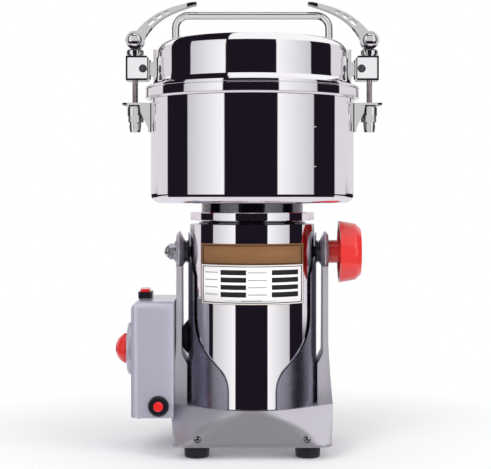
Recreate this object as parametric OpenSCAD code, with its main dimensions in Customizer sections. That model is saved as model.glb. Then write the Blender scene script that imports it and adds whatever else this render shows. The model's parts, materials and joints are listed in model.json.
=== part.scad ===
// Swing-type electric grain mill. A steel chamber with a clamped lid stands on a motor,
// and the motor hangs between two arms of a cast stand, so that the chamber can be tipped out.
// Millimetres, +Z up. The origin is the middle of the whole mill's footprint, on the floor.

/* [Stand] */
// Width of the cast base at its foot
base_w = 142; // [136:1:160]
// Width of the cast base at its top
base_top_w = 150; // [146:1:170]
// Depth of the cast base at its foot
base_d = 137; // [132:1:160]
// Height of the cast base without its feet
base_h = 31; // [28:0.5:40]
// How far the base's back draws in from foot to top
base_draft = 2.5; // [1:0.5:5]
// Corner radius of the base at its foot
base_corner_r = 12; // [6:1:18]
// Radius of the base's two rear corners at its top
base_top_corner_r = 30; // [20:1:34]
// Wall of the cast base
base_wall = 4; // [3:0.5:6]
// Flat rim of the base in front of the guard
base_rim = 1.5; // [1:0.25:4]
// Height of the bead round the base's foot
bead_h = 2; // [1:0.25:4]
// How far that bead stands out
bead_out = 0.6; // [0.3:0.1:1.5]
// Height of a rubber foot
foot_h = 12; // [8:0.5:20]
// Radius of a rubber foot
foot_r = 11.7; // [8:0.1:14]
// Distance of a foot's centre from the base's sides
foot_inset = 21; // [18:0.5:28]
// Thickness of the sheet that closes the base from below
sole_t = 1.5; // [1:0.25:3]

/* [Arms] */
// Thickness of an arm at its head
arm_t = 7.5; // [5:0.5:10]
// Thickness of an arm below its head
arm_plate_t = 5.5; // [3.5:0.5:8]
// Radius of an arm's round head
arm_head_r = 19; // [15:0.5:24]
// Depth of an arm just below its head
arm_top_d = 32; // [24:1:36]
// How far an arm's foot reaches to the front of the tilting axis
arm_front = 18; // [16:1:30]
// How far an arm's foot reaches to the back of the tilting axis
arm_back = 44; // [30:1:56]
// Bevel round an arm's head
arm_bevel = 2.5; // [1:0.5:4]
// Height of the cone on an arm's head, towards the motor
arm_cone_h = 4; // [2:0.5:5]
// Gap between the guard and an arm
arm_gap = 3.4; // [2.5:0.1:6]
// Height over which an arm's outer face flares out to the base
arm_flare_h = 58; // [30:1:70]

/* [Motor] */
// Radius of the motor's shell
motor_r = 58.2; // [54:0.1:64]
// Height of the motor's shell
motor_h = 169; // [162:1:200]
// Sheet of the motor's shell
motor_wall = 1.2; // [0.8:0.1:2]
// How deep the motor's shell stands in the base
motor_sink = 3; // [1:0.5:5]
// Distance of the tilting axis below the motor's top
pivot_drop = 26; // [22:0.5:32]
// Radius of a pivot stud
stud_r = 5; // [4:0.25:6]
// Radius of the motor's shaft
shaft_r = 6; // [5:0.25:7]
// Height of the laminated cores
core_h = 50; // [36:1:50]
// Radius of the armature
armature_r = 24; // [20:0.5:28]
// Slots of the armature
armature_slots = 12; // [8:1:16]
// Blades of the cooling fan
fan_blades = 11; // [7:1:15]

/* [Guard] */
// Gap between the motor and the guard
guard_gap = 0.8; // [0.5:0.1:2]
// Sheet of the guard
guard_t = 1.1; // [0.8:0.1:2]
// Height of the guard's tips above the tilting axis
guard_tip = 18; // [12:0.5:24]
// Half width of the guard's front slot
guard_slot = 22; // [14:0.5:30]
// Height at which the slot begins to widen, above the guard's seat
slot_rise = 19; // [10:0.5:30]
// Half width of the slot where its edge turns upwards
slot_mid_x = 36; // [30:0.5:42]
// Height of that turn above the guard's seat
slot_mid_rise = 46; // [36:0.5:56]
// Half width of the slot beside the motor
slot_top_x = 53.3; // [48:0.1:55]
// Height above the guard's seat at which the slot reaches that width
slot_top_rise = 87.5; // [76:0.5:96]
// Length of the guard's straight sides behind the tilting axis
guard_back = 24; // [12:1:36]

/* [Chamber] */
// Radius of the neck between motor and chamber
neck_r = 47.5; // [40:0.5:52]
// Height of the neck
neck_h = 19.5; // [16:0.5:26]
// Outer radius of the chamber
bowl_r = 95; // [88:0.5:100]
// Height of the chamber below its rim
bowl_h = 97.5; // [85:0.5:115]
// Sheet of the chamber
bowl_wall = 1.5; // [1:0.1:2.5]
// Thickness of the chamber's floor
bowl_floor = 2.5; // [2:0.1:4]
// Radius of the chamber's lower edge
bowl_edge_r = 9; // [5:0.5:14]
// How far the rim stands out from the chamber
rim_out = 5; // [4:0.25:6]
// Height of the rim
rim_h = 15; // [12:0.5:18]

/* [Blades] */
// Length of the lower blade from tip to tip
blade_lower_l = 172; // [150:1:176]
// Length of the middle blade from tip to tip
blade_middle_l = 150; // [120:1:170]
// Length of the upper blade from tip to tip
blade_upper_l = 128; // [100:1:150]
// Width of a blade
blade_w = 24; // [18:0.5:28]
// Thickness of a blade
blade_t = 2.5; // [1.5:0.1:4]
// Height of a spacer between blades
spacer_h = 12; // [8:0.5:15]

/* [Lid] */
// Outer radius of the lid
lid_r = 90.5; // [85:0.5:92]
// Height of the lid above the chamber's rim
lid_h = 38; // [30:0.5:45]
// Sheet of the lid
lid_wall = 1.5; // [1:0.1:2.5]
// Radius of the lid's shoulder
lid_shoulder_r = 12; // [6:0.5:14]
// Depth of the plug that the lid lets into the chamber
plug_h = 12; // [8:0.5:20]
// Radius of the handle's rod
handle_rod_r = 3.5; // [3:0.1:5]
// Distance of a handle leg from the middle
handle_half = 72; // [60:0.5:76]
// Height of the handle above the lid
handle_h = 29; // [26:0.5:34]
// Bend radius of the handle, on its centre line
handle_bend_r = 12; // [8:0.5:18]

/* [Latches] */
// Distance from the mill's axis to a latch's rod
rod_x = 110; // [108:0.5:114]
// Radius of a latch's rod
rod_r = 2.5; // [2:0.1:3]
// Distance from the mill's axis to the pin that a latch swings on
latch_pin_x = 102; // [101:0.25:103]
// Radius of that pin
latch_pin_r = 2; // [1.5:0.1:2.2]
// Width of a latch block, outwards
block_w = 22; // [20:0.5:24]
// Height of a latch block
block_h = 23; // [21:0.5:26]
// Depth of a latch block, front to back
block_d = 20; // [16:0.5:24]
// Radius of the cam on a lever
cam_r = 8.6; // [7.5:0.1:10]
// Width of a lever, front to back
lever_d = 12; // [8:0.5:16]
// Radius of the keeper that takes a rod
keeper_r = 7.5; // [6.5:0.1:8.5]
// Height of the keeper below its flange
keeper_h = 25; // [20:0.5:28]
// Sheet of the catch brackets
bracket_t = 2; // [1.5:0.1:3]

/* [Lock knob] */
// Radius of the lock knob at its skirt
knob_r = 29.5; // [24:0.5:34]
// Radius of the lock knob at its face
knob_face_r = 26.5; // [20:0.5:28]
// Length of the lock knob's skirt
knob_l = 20; // [14:0.5:24]
// Height of the knob's rounded face edge
knob_edge_h = 5; // [3:0.5:8]
// Radius of the lock knob's hub
hub_r = 10.8; // [8:0.1:13]
// Length of the hub between arm and skirt
hub_l = 10; // [8:0.5:16]

/* [Control box] */
// Width of the control box, outwards from the base's side
box_w = 35.4; // [32:0.1:46]
// Depth of the control box
box_d = 95; // [80:1:110]
// Height of the control box
box_h = 105; // [95:1:120]
// Wall of the control box
box_wall = 3; // [2:0.25:4]
// Edge radius of the control box
box_r = 8; // [4:0.5:12]
// Radius of the timer's dial
dial_r = 24.5; // [20:0.5:28]
// Thickness of the timer's dial
dial_t = 6; // [4:0.5:8]
// Radius of the timer's knob
timer_knob_r = 14; // [11:0.5:17]
// Height of the timer's knob
timer_knob_h = 11.5; // [9:0.5:15]
// Width of the switch bezel
bezel_w = 13; // [11:0.5:16]
// Length of the switch bezel, front to back
bezel_l = 21; // [18:0.5:26]
// Height of the switch bezel
bezel_h = 6; // [3:0.5:8]
// Radius of the reset button's black ring
breaker_r = 9.3; // [7.5:0.1:11]
// Radius of the reset button
button_r = 4.5; // [3.5:0.1:5.5]
// Travel of the reset button
button_travel = 2.5; // [1.5:0.1:3]

/* [Hidden] */
// Clearances
fit = 0.05;
gap = 0.3;
eps = 0.01;
$fn = 64;
round_fn = 128;

// Colours
paint = [0.66, 0.65, 0.68];
steel = [0.82, 0.82, 0.84];
dark = [0.16, 0.16, 0.18];
black = [0.06, 0.06, 0.07];
red = [0.85, 0.1, 0.1];
copper = [0.72, 0.38, 0.2];
bronze = [0.7, 0.5, 0.25];
silicone = [0.9, 0.9, 0.88];

// Heights
base_z1 = foot_h + base_h;
motor_z0 = base_z1 - motor_sink;
motor_z1 = motor_z0 + motor_h;
pivot_z = motor_z1 - pivot_drop;
bowl_z0 = motor_z1 + neck_h;
rim_z0 = bowl_z0 + bowl_h;
rim_z1 = rim_z0 + rim_h;
lid_z1 = rim_z1 + lid_h;

// Widths from the motor outwards
guard_in = motor_r + guard_gap;
guard_r = guard_in + guard_t;
arm_in = guard_r + arm_gap;
arm_out = arm_in + arm_t;
bush_r = stud_r + 2;
ledge_z = base_z1 - 4;
guard_z1 = pivot_z + guard_tip;
plate_in = arm_out - arm_plate_t;
sweep_r = sqrt(pow(pivot_z - motor_z0, 2) + pow(motor_r, 2)) + 2;
pocket_z1 = pivot_z - sweep_r - base_wall;

// The control box hangs on the left arm
box_in = arm_out + 0.4;
box_out = base_top_w / 2 + box_w;
box_z0 = base_z1 - 9;
box_z1 = box_z0 + box_h;
box_y0 = 2.5 - box_d / 2;
box_y1 = 2.5 + box_d / 2;
cavity_in = base_top_w / 2 + 0.4 + box_wall;
dial_z = box_z0 + box_h * 0.555;
knob_gap = 0.4;

// Latches
flange_reach = 11;
flange_z = rim_z0 - 4;

// The footprint's middle lies between the timer knob and the right catch bracket
left_reach = box_out + dial_t + knob_gap + timer_knob_h;
right_reach = rod_x + flange_reach;
axis_x = (left_reach - right_reach) / 2;

// ---- Helpers ----

// Moves a piece from the motor's axis to the place of that axis over the footprint
module place() {
    translate([axis_x, 0, 0]) children();
}

// An outline in Y and Z, pushed out along X
module along_x(x0, x1) {
    translate([x0, 0, 0]) rotate([90, 0, 90]) linear_extrude(x1 - x0) children();
}

// An outline in X and Z, pushed out along Y
module along_y(y0, y1) {
    translate([0, y1, 0]) rotate([90, 0, 0]) linear_extrude(y1 - y0) children();
}

// A round bar along X between two stations
module bar_x(r, x0, x1, r2 = 0) {
    translate([x0, 0, 0]) rotate([0, 90, 0])
        cylinder(r1 = r, r2 = r2 > 0 ? r2 : r, h = x1 - x0);
}

// A round bar along Y between two stations
module bar_y(r, y0, y1, r2 = 0) {
    translate([0, y0, 0]) rotate([-90, 0, 0])
        cylinder(r1 = r, r2 = r2 > 0 ? r2 : r, h = y1 - y0);
}

// A hexagonal bar along Z, by its width across flats
module hex_z(flats, h) {
    cylinder(r = flats / sqrt(3), h = h, $fn = 6);
}

// A flat ring along Z
module ring(r_out, r_in, h) {
    difference() {
        cylinder(r = r_out, h = h);
        translate([0, 0, -1]) cylinder(r = r_in, h = h + 2);
    }
}

module both_sides() {
    children();
    mirror([1, 0, 0]) children();
}

module rounded_rect(w, d, r) {
    square([w - 2 * r, d], center = true);
    square([w, d - 2 * r], center = true);
    for (x = [-1, 1], y = [-1, 1])
        translate([x * (w / 2 - r), y * (d / 2 - r)]) circle(r);
}

// Half a cup in section: a floor, a rounded lower edge and an upright wall
module cup_outline(r, h, edge) {
    square([r - edge, h]);
    translate([0, edge]) square([r, h - edge]);
    translate([r - edge, edge]) circle(edge);
}

// A point on a cubic curve with end points a, d and handles b, c
function bezier(a, b, c, d, t) =
    pow(1 - t, 3) * a + 3 * t * pow(1 - t, 2) * b + 3 * t * t * (1 - t) * c + pow(t, 3) * d;

// A dome on a round plate, its flat side at z = 0
module dome(r, h) {
    ball_r = (r * r + h * h) / (2 * h);
    rotate_extrude() intersection() {
        translate([0, h - ball_r]) circle(ball_r, $fn = round_fn);
        square([r, h]);
    }
}

// A screw with a domed head, its seat at z = 0 and its shank pointing down
module pan_screw(head_r, head_h, shank_r, shank_l) {
    cylinder(r1 = head_r, r2 = head_r * 0.7, h = head_h);
    translate([0, 0, -shank_l]) cylinder(r = shank_r, h = shank_l + eps);
}

// ---- Stand ----

// Reach of an arm's edge that ends at foot_reach, from its foot (t = 0) to its head (t = 1)
function arm_edge(foot_reach, t) = arm_top_d / 2 + (foot_reach - arm_top_d / 2) * pow(1 - t, 2.2);

// Outer face of an arm from the base's top (t = 0) to the end of the flare (t = 1)
function arm_flare(t) = arm_out - 0.5 + (base_top_w / 2 - arm_out) * pow(1 - t, 1.3);

// The base's top: round in front of the guard, straight beside it, with two round rear corners
module base_top_outline(grow) {
    half = base_top_w / 2;
    corner_y = base_d / 2 - base_draft - base_top_corner_r;
    circle(guard_r + base_rim + grow, $fn = 96);
    translate([-half - grow, -arm_front - 1 - grow])
        square([2 * half + 2 * grow, corner_y + arm_front + 1 + grow]);
    for (x = [-1, 1]) translate([x * (half - base_top_corner_r), corner_y])
        circle(base_top_corner_r + grow, $fn = 48);
}

// The base from its foot to its top, grown or shrunk on all sides but the lowest
module base_block(grow = 0) {
    hull() {
        translate([0, 0, foot_h + min(grow, 0)]) linear_extrude(eps)
            rounded_rect(base_w + 2 * grow, base_d + 2 * grow, base_corner_r + grow, $fn = 48);
        translate([0, 0, base_z1 + grow - eps]) linear_extrude(eps) base_top_outline(grow);
    }
}

// The right arm; grow widens it for the housing that is fitted round it
module arm_body(grow = 0) {
    z_low = base_z1 - 6;
    z_neck = pivot_z - arm_head_r * 0.7;
    steps = 10;
    intersection() {
        along_y(-base_d / 2, base_d / 2) polygon(concat(
            [[plate_in - grow, z_neck], [plate_in - grow, arm_root_z],
                [guard_r + gap - grow, arm_root_z - 1.8 * (plate_in - guard_r)],
                [guard_r + gap - grow, z_low]],
            [for (i = [0 : steps]) [
                arm_flare(max(i - 1, 0) / (steps - 1)) + grow,
                i == 0 ? z_low : base_z1 + arm_flare_h * (i - 1) / (steps - 1)]],
            [[arm_out - 0.5 + grow, z_neck]]));
        along_x(arm_in - 10, base_top_w / 2 + 2) polygon(concat(
            [for (i = [0 : steps]) let (t = i / steps)
                [-arm_edge(arm_front, t) - grow, z_low + (pivot_z - z_low) * t]],
            [for (i = [steps : -1 : 0]) let (t = i / steps)
                [arm_edge(arm_back, t) + grow, z_low + (pivot_z - z_low) * t]]));
    }
    translate([0, 0, pivot_z]) {
        bar_x(arm_head_r - 2 * arm_cone_h, arm_in - grow, arm_in + arm_cone_h + eps,
            arm_head_r + grow);
        bar_x(arm_head_r + grow, arm_in + arm_cone_h, arm_out - arm_bevel + grow);
        bar_x(arm_head_r + grow, arm_out - arm_bevel + grow - eps, arm_out + grow,
            arm_head_r - arm_bevel);
    }
}

// The motor's plan with the way that it swings out to the back
module motor_plan(r, back) {
    circle(r, $fn = round_fn);
    translate([-r, 0]) square([2 * r, back]);
}

foot_x = base_w / 2 - foot_inset;
foot_y = base_d / 2 - foot_inset;
sole_screw_x = 48.7;
sole_screw_z = foot_h + 7;
sole_seat_y = base_d / 2 - 3.4;
sole_tab_y = base_d / 2 - 14;
sole_tab_t = 2.5;
lead_z = base_z1 + 60;
arm_root_z = base_z1 + 46;
mount_low = 20;
mount_high = 92;
mount_screw_z = [box_z0 + mount_low, box_z0 + mount_high];

module at_feet() {
    for (x = [-1, 1], y = [-1, 1]) translate([x * foot_x, y * foot_y, 0]) children();
}

// The four side screws' stations; a piece is drawn for the front side, along Y
module at_sole_screws() {
    for (x = [-1, 1], y = [0, 1]) mirror([0, y, 0])
        translate([x * sole_screw_x, 0, sole_screw_z]) children();
}

// The cast base with its two arms
module cradle_casting() {
    color(paint) place() difference() {
        union() {
            base_block();
            translate([0, 0, foot_h]) linear_extrude(bead_h)
                rounded_rect(base_w + 2 * bead_out, base_d + 2 * bead_out, base_corner_r + bead_out);
            both_sides() arm_body();
        }
        // Room for the motor's lower end as it swings
        intersection() {
            translate([0, 0, foot_h]) linear_extrude(base_h + 1) motor_plan(guard_in, base_d);
            translate([0, 0, pivot_z]) bar_x(sweep_r, -guard_in, guard_in, $fn = round_fn);
        }
        // Seat of the guard
        translate([0, 0, ledge_z]) linear_extrude(base_h) motor_plan(guard_r + 0.2, guard_back + 0.2);
        // The underside is open, with a rebate for the sole
        translate([0, 0, foot_h - 1]) linear_extrude(sole_t + 1)
            rounded_rect(base_w - 2 * base_wall, base_d - 2 * base_wall, base_corner_r - 2);
        difference() {
            intersection() {
                base_block(-base_wall);
                translate([0, 0, pocket_z1 - base_h / 2]) cube([base_w, base_d, base_h], center = true);
            }
            at_feet() translate([0, 0, foot_h + sole_t]) cylinder(r = foot_r - 2, h = base_h);
        }
        at_feet() translate([0, 0, foot_h - 1]) cylinder(r = 2 + fit, h = 11);
        at_sole_screws() {
            bar_y(1.5 + fit, -sole_seat_y - 1, -sole_tab_y + sole_tab_t + 1);
            bar_y(3.2, -base_d / 2 - 2, -sole_seat_y);
            translate([-3, -sole_tab_y - 0.5, foot_h - sole_screw_z - 1])
                cube([6, sole_tab_t + 1, sole_screw_z - foot_h + 3.8]);
        }
        translate([0, 0, pivot_z]) bar_x(bush_r + fit, -base_w, base_w);
        // The motor's lead and the control box's screws pass the left arm
        translate([0, 0, lead_z]) bar_x(7, -base_w, 0);
        for (z = mount_screw_z) translate([0, 0, z]) bar_x(2 + fit, -base_w, 0);
    }
}

// Steel sheet that closes the base from below, with tabs for the side screws
module base_sole() {
    color(steel) place() difference() {
        union() {
            translate([0, 0, foot_h]) linear_extrude(sole_t)
                rounded_rect(base_w - 2 * base_wall - 1, base_d - 2 * base_wall - 1, base_corner_r - 3);
            at_sole_screws() translate([-2.5, -sole_tab_y, foot_h - sole_screw_z])
                cube([5, sole_tab_t, sole_screw_z - foot_h + 2.3]);
        }
        at_feet() translate([0, 0, foot_h - 1]) cylinder(r = 2 + fit, h = sole_t + 2);
        at_sole_screws() bar_y(1.5 + fit, -sole_tab_y - 1, -sole_tab_y + sole_tab_t + 1);
    }
}

module rubber_feet() {
    color(black) place() at_feet() difference() {
        union() {
            translate([0, 0, 1]) cylinder(r1 = foot_r - 0.6, r2 = foot_r, h = foot_h - 1);
            cylinder(r1 = foot_r - 1.6, r2 = foot_r - 0.6, h = 1 + eps);
        }
        translate([0, 0, -1]) cylinder(r = 5, h = foot_h * 0.45 + 1);
        cylinder(r = 2 + fit, h = foot_h + 1);
    }
}

module foot_screws() {
    color(steel) place() at_feet() translate([0, 0, foot_h * 0.45]) mirror([0, 0, 1])
        pan_screw(4, 2.4, 2, foot_h * 0.55 + 9);
}

module sole_screws() {
    color(steel) place() at_sole_screws() translate([0, -sole_seat_y - fit, 0]) rotate([90, 0, 0])
        pan_screw(2.8, 1.8, 1.5, sole_seat_y - sole_tab_y + sole_tab_t);
}

// Steel sleeve round the motor: closed at the front's foot, open towards the bowl and the back
module motor_guard() {
    steps = 10;
    start = [guard_slot, ledge_z + slot_rise];
    mid = [slot_mid_x, ledge_z + slot_mid_rise];
    top = [slot_top_x, ledge_z + slot_top_rise];
    tip_x = motor_r + 0.2;
    edge = concat(
        [[guard_slot, ledge_z - 1]],
        [for (i = [0 : steps]) bezier(start, start + [0, 14], mid + [-8, -8], mid, i / steps)],
        [for (i = [1 : steps]) bezier(mid, mid + [9, 9], top + [0, -22], top, i / steps)],
        [[slot_top_x, pivot_z - 21], [motor_r - 3.4, pivot_z - 17], [motor_r - 0.6, pivot_z - 9],
            [tip_x, pivot_z - 3], [tip_x, guard_z1 + 1]]);
    color(steel) place() difference() {
        intersection() {
            translate([0, 0, ledge_z]) linear_extrude(guard_z1 - ledge_z) difference() {
                motor_plan(guard_r, guard_back);
                motor_plan(guard_in, guard_back + 1);
            }
            along_x(-guard_r - 1, guard_r + 1) union() {
                translate([0, pivot_z]) circle(guard_tip);
                polygon([[-base_d, ledge_z - 1], [guard_back, ledge_z - 1],
                    [guard_back, pivot_z - 60], [guard_tip, pivot_z], [-base_d, pivot_z]]);
            }
        }
        along_y(-guard_r - 1, 0) polygon(concat(edge,
            [for (i = [len(edge) - 1 : -1 : 0]) [-edge[i][0], edge[i][1]]]));
        translate([0, 0, pivot_z]) bar_x(stud_r + 1, -arm_in, arm_in);
        translate([0, 0, lead_z]) bar_x(7, -arm_in, 0);
    }
}

module pivot_bushes() {
    color(bronze) place() both_sides() translate([arm_in, 0, pivot_z]) rotate([0, 90, 0])
        ring(bush_r, stud_r + fit, arm_t);
}

// ---- Control box ----

bezel_x = -(box_out - 9.7);
bezel_y = 8;
rocker_z = box_z1 + bezel_h - 1;
rocker_r = bezel_l / 2 - 2.2;
rocker_throw = 8;
breaker_x = -(cavity_in + 6.4);
breaker_z = box_z0 + 11;
breaker_body_r = 5.8;
ring_t = 3;
gland_x = -(cavity_in + box_out - box_wall) / 2;
gland_z = box_z0 + 26;
gland_bore_r = 3.75;
gland_out = 15;
spindle_r = 3;
timer_size = 42;
timer_depth = 20;
spindle_in = 16;

// A box with round outer and upper edges; inset shrinks it for the cavity
module box_form(x_in, inset, z_low) {
    w = box_out - inset - x_in;
    d = box_d - 2 * inset;
    r = box_r - inset;
    z_top = box_z1 - inset;
    mid_y = (box_y0 + box_y1) / 2;
    intersection() {
        translate([-x_in - w / 2 + r, mid_y, z_low]) linear_extrude(z_top - z_low)
            rounded_rect(w + 2 * r, d, r);
        along_y(box_y0, box_y1) translate([-x_in - w / 2 + r, z_top - box_h])
            rounded_rect(w + 2 * r, 2 * box_h, r);
        along_x(-box_out, -x_in) translate([mid_y, z_top - box_h]) rounded_rect(d, 2 * box_h, r);
    }
}

// Three corners of the cavity: the cut-out takes the fourth
module at_box_bosses() {
    inset = box_wall + 4.5;
    for (at = [[-box_out + inset, box_y0 + inset], [-box_out + inset, box_y1 - inset],
            [-cavity_in - 4.5, box_y1 - inset]])
        translate([at[0], at[1], box_z0]) children();
}

// Moulded housing that is fitted round the left arm's flare
module control_box_shell() {
    color(paint) place() difference() {
        box_form(box_in, 0, box_z0);
        difference() {
            box_form(cavity_in, box_wall, box_z0 - 1);
            at_box_bosses() translate([0, 0, 2.5]) cylinder(r = 4.9, h = 12);
        }
        at_box_bosses() cylinder(r = 1.5 + fit, h = 12);
        base_block(0.4);
        mirror([1, 0, 0]) arm_body(0.4);
        translate([0, 0, dial_z]) bar_x(5, -box_out - 1, -box_out + box_wall + 1);
        translate([bezel_x, bezel_y, box_z1 - box_wall / 2])
            cube([bezel_w - 2, bezel_l - 2, 2.5 * box_wall], center = true);
        translate([breaker_x, 0, breaker_z]) bar_y(breaker_body_r + fit, box_y0 - 1, box_y0 + box_wall + 1);
        translate([gland_x, 0, gland_z]) bar_y(6.5 + fit, box_y1 - box_wall - 1, box_y1 + 1);
        translate([0, 0, lead_z]) bar_x(7, -cavity_in - 1, -box_in + 1);
        for (z = mount_screw_z) translate([0, 0, z]) bar_x(2 + fit, -cavity_in - 1, -box_in + 5);
    }
}

module control_box_floor() {
    color(paint) place() difference() {
        intersection() {
            box_form(cavity_in + fit, box_wall + fit, box_z0);
            translate([-box_out, box_y0, box_z0]) cube([box_out, box_d, 2.5]);
        }
        at_box_bosses() translate([0, 0, -1]) cylinder(r = 1.5 + fit, h = 5);
    }
}

module box_floor_screws() {
    color(steel) place() at_box_bosses() mirror([0, 0, 1]) pan_screw(2.8, 1.6, 1.5, 10);
}

module box_mount_screws() {
    color(steel) place() for (z = mount_screw_z) translate([-cavity_in, 0, z]) rotate([0, -90, 0])
        pan_screw(3.8, 2.4, 2, cavity_in - plate_in - 1);
}

// Round scale plate under the timer's knob
module timer_dial() {
    color(paint) place() translate([0, 0, dial_z]) difference() {
        union() {
            bar_x(dial_r, -box_out - dial_t + 1.5, -box_out);
            bar_x(dial_r - 1.5, -box_out - dial_t, -box_out - dial_t + 1.5 + eps, dial_r);
        }
        bar_x(5, -box_out - dial_t - 1, -box_out + 1);
    }
}

// Clockwork behind the dial, with the threaded bush that clamps it to the wall
module timer_mechanism() {
    color(dark) place() translate([0, 0, dial_z]) difference() {
        union() {
            translate([-box_out + box_wall + fit, -timer_size / 2, -timer_size / 2])
                cube([timer_depth, timer_size, timer_size]);
            bar_x(5 - fit, -box_out - dial_t + 0.5, -box_out + box_wall + 1);
        }
        bar_x(spindle_r + fit, -box_out - dial_t - 1, -box_out + spindle_in);
    }
}

// Domed knob on its steel spindle
module timer_knob() {
    x0 = -box_out - dial_t - knob_gap;
    skirt = 3;
    place() translate([0, 0, dial_z]) {
        color(red) difference() {
            union() {
                bar_x(timer_knob_r, x0 - skirt, x0);
                translate([x0 - skirt + eps, 0, 0]) rotate([0, -90, 0])
                    dome(timer_knob_r, timer_knob_h - skirt);
            }
            bar_x(spindle_r + fit, x0 - 8, x0 + 1);
        }
        color(steel) bar_x(spindle_r, x0 - 7.9, -box_out + spindle_in - 0.5);
    }
}

// Rocker outline in Y and Z about its own hinge
module rocker_outline() {
    intersection() {
        circle(rocker_r);
        polygon([[-rocker_r, -2.5], [rocker_r, -2.5], [rocker_r, 2.2], [0, 4.6], [-rocker_r, 2.2]]);
    }
}

module switch_bezel() {
    color(black) place() translate([bezel_x, bezel_y, 0]) difference() {
        union() {
            translate([0, 0, box_z1]) linear_extrude(bezel_h) rounded_rect(bezel_w, bezel_l, 2);
            translate([-(bezel_w - 2) / 2 + fit, -(bezel_l - 2) / 2 + fit, box_z1 - 24])
                cube([bezel_w - 2 - 2 * fit, bezel_l - 2 - 2 * fit, 24 + eps]);
        }
        translate([-(bezel_w - 4) / 2, -rocker_r - 0.25, rocker_z - 4.5])
            cube([bezel_w - 4, 2 * rocker_r + 0.5, 20]);
        translate([0, 0, rocker_z]) bar_x(1 + fit, -bezel_w / 2 + 0.8, bezel_w / 2 - 0.8);
    }
}

module power_rocker() {
    half_w = (bezel_w - 4) / 2 - 0.25;
    color(red) place() translate([bezel_x, bezel_y, rocker_z]) rotate([-rocker_throw, 0, 0]) {
        along_x(-half_w, half_w) rocker_outline();
        bar_x(1, -half_w - 0.9, half_w + 0.9);
    }
}

// Thermal cut-out behind the front wall, with its black ring
module breaker_body() {
    color(black) place() translate([breaker_x, 0, breaker_z]) difference() {
        union() {
            bar_y(breaker_r - 1.2, box_y0 - ring_t, box_y0 - ring_t + 1.2 + eps, breaker_r);
            bar_y(breaker_r, box_y0 - ring_t + 1.2, box_y0);
            bar_y(breaker_body_r, box_y0 - eps, box_y0 + 28);
        }
        bar_y(button_r + 0.15, box_y0 - ring_t - 1, box_y0 + 6 + button_travel + gap);
    }
}

module reset_button() {
    reach = button_travel + 0.4;
    color(red) place() translate([breaker_x, 0, breaker_z]) {
        bar_y(button_r - 1, box_y0 - ring_t - reach, box_y0 - ring_t - reach + 1 + eps, button_r);
        bar_y(button_r, box_y0 - ring_t - reach + 1, box_y0 + 6);
    }
}

// Cable gland for the mains lead, through the box's back wall
module mains_gland() {
    color(black) place() translate([gland_x, 0, gland_z]) difference() {
        union() {
            bar_y(6.5, box_y1 - box_wall - 6, box_y1 + 5);
            translate([0, box_y1 - box_wall - fit, 0]) rotate([90, 0, 0]) hex_z(17, 4);
            translate([0, box_y1, 0]) rotate([-90, 0, 0]) hex_z(17, 5);
            bar_y(8.2, box_y1 + 5 - eps, box_y1 + 11);
            bar_y(8.2, box_y1 + 11 - eps, box_y1 + gland_out, 5.4);
        }
        bar_y(gland_bore_r, box_y1 - box_wall - 7, box_y1 + gland_out + 1);
    }
}

// Rubber bush that leads the motor's wires from the box through the arm and the guard
module lead_grommet() {
    color(black) place() translate([0, 0, lead_z]) difference() {
        union() {
            bar_x(10, -plate_in + gap, -guard_r - gap, 16);
            bar_x(7 - fit, -cavity_in - 2, -guard_in - 0.2);
        }
        bar_x(4, -cavity_in - 3, -guard_in);
    }
}

// ---- Motor ----

inner_r = motor_r - motor_wall;
plate_t = 5;
end_cap_t = 4;
bearing_r = 13;
bearing_h = 11;
low_bearing_z = motor_z0 + 16;
top_bearing_z = motor_z1 - plate_t - 16;
seat_r = 17;
comm_z = motor_z0 + 32;
comm_h = 18;
comm_r = 14;
brush_z = comm_z + comm_h / 2;
brush_w = 6;
brush_h = 8;
core_z = motor_z0 + 58;
air_gap = 0.6;
yoke_t = 9;
pole_angle = 62;
fan_z = core_z + core_h + 12;
fan_r = 46;
coil_over = 9;
coil_w = 46;
coil_t = 11.5;
pole_w = 26;
end_coil_h = 7.5;
fan_h = 12;
screw_circle_r = 33;
hub_bore_r = 14;

module at_neck_screws() {
    for (a = [45 : 90 : 315]) rotate(a) translate([screw_circle_r, 0, 0]) children();
}

module motor_shell() {
    color(steel) place() difference() {
        translate([0, 0, motor_z0]) cylinder(r = motor_r, h = motor_h, $fn = round_fn);
        translate([0, 0, motor_z0 - 1]) cylinder(r = inner_r, h = motor_h + 2, $fn = round_fn);
        translate([0, 0, pivot_z]) bar_x(stud_r + fit, -motor_r - 1, motor_r + 1);
    }
}

// Top plate with the seat of the upper bearing
module motor_top_plate() {
    color(steel) place() difference() {
        union() {
            translate([0, 0, motor_z1 - plate_t]) cylinder(r = inner_r - fit, h = plate_t);
            translate([0, 0, top_bearing_z - 2]) cylinder(r = seat_r, h = 18);
        }
        translate([0, 0, top_bearing_z]) cylinder(r = bearing_r + fit, h = 40);
        translate([0, 0, top_bearing_z - 3]) cylinder(r = bearing_r - 3, h = 10);
        at_neck_screws() translate([0, 0, motor_z1 - plate_t - 1]) cylinder(r = 2 + fit, h = plate_t + 2);
    }
}

// Vented cap at the motor's lower end
module motor_end_cap() {
    vents = 20;
    color(dark) place() translate([0, 0, motor_z0]) difference() {
        union() {
            cylinder(r = inner_r - fit, h = end_cap_t);
            ring(inner_r - fit, inner_r - 3, 12);
        }
        for (i = [0 : vents - 1]) rotate(i * 360 / vents) translate([24, -1.6, -1])
            cube([24, 3.2, end_cap_t + 2]);
        translate([0, 0, -1]) cylinder(r = 9, h = 1 + end_cap_t / 2);
    }
}

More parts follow.
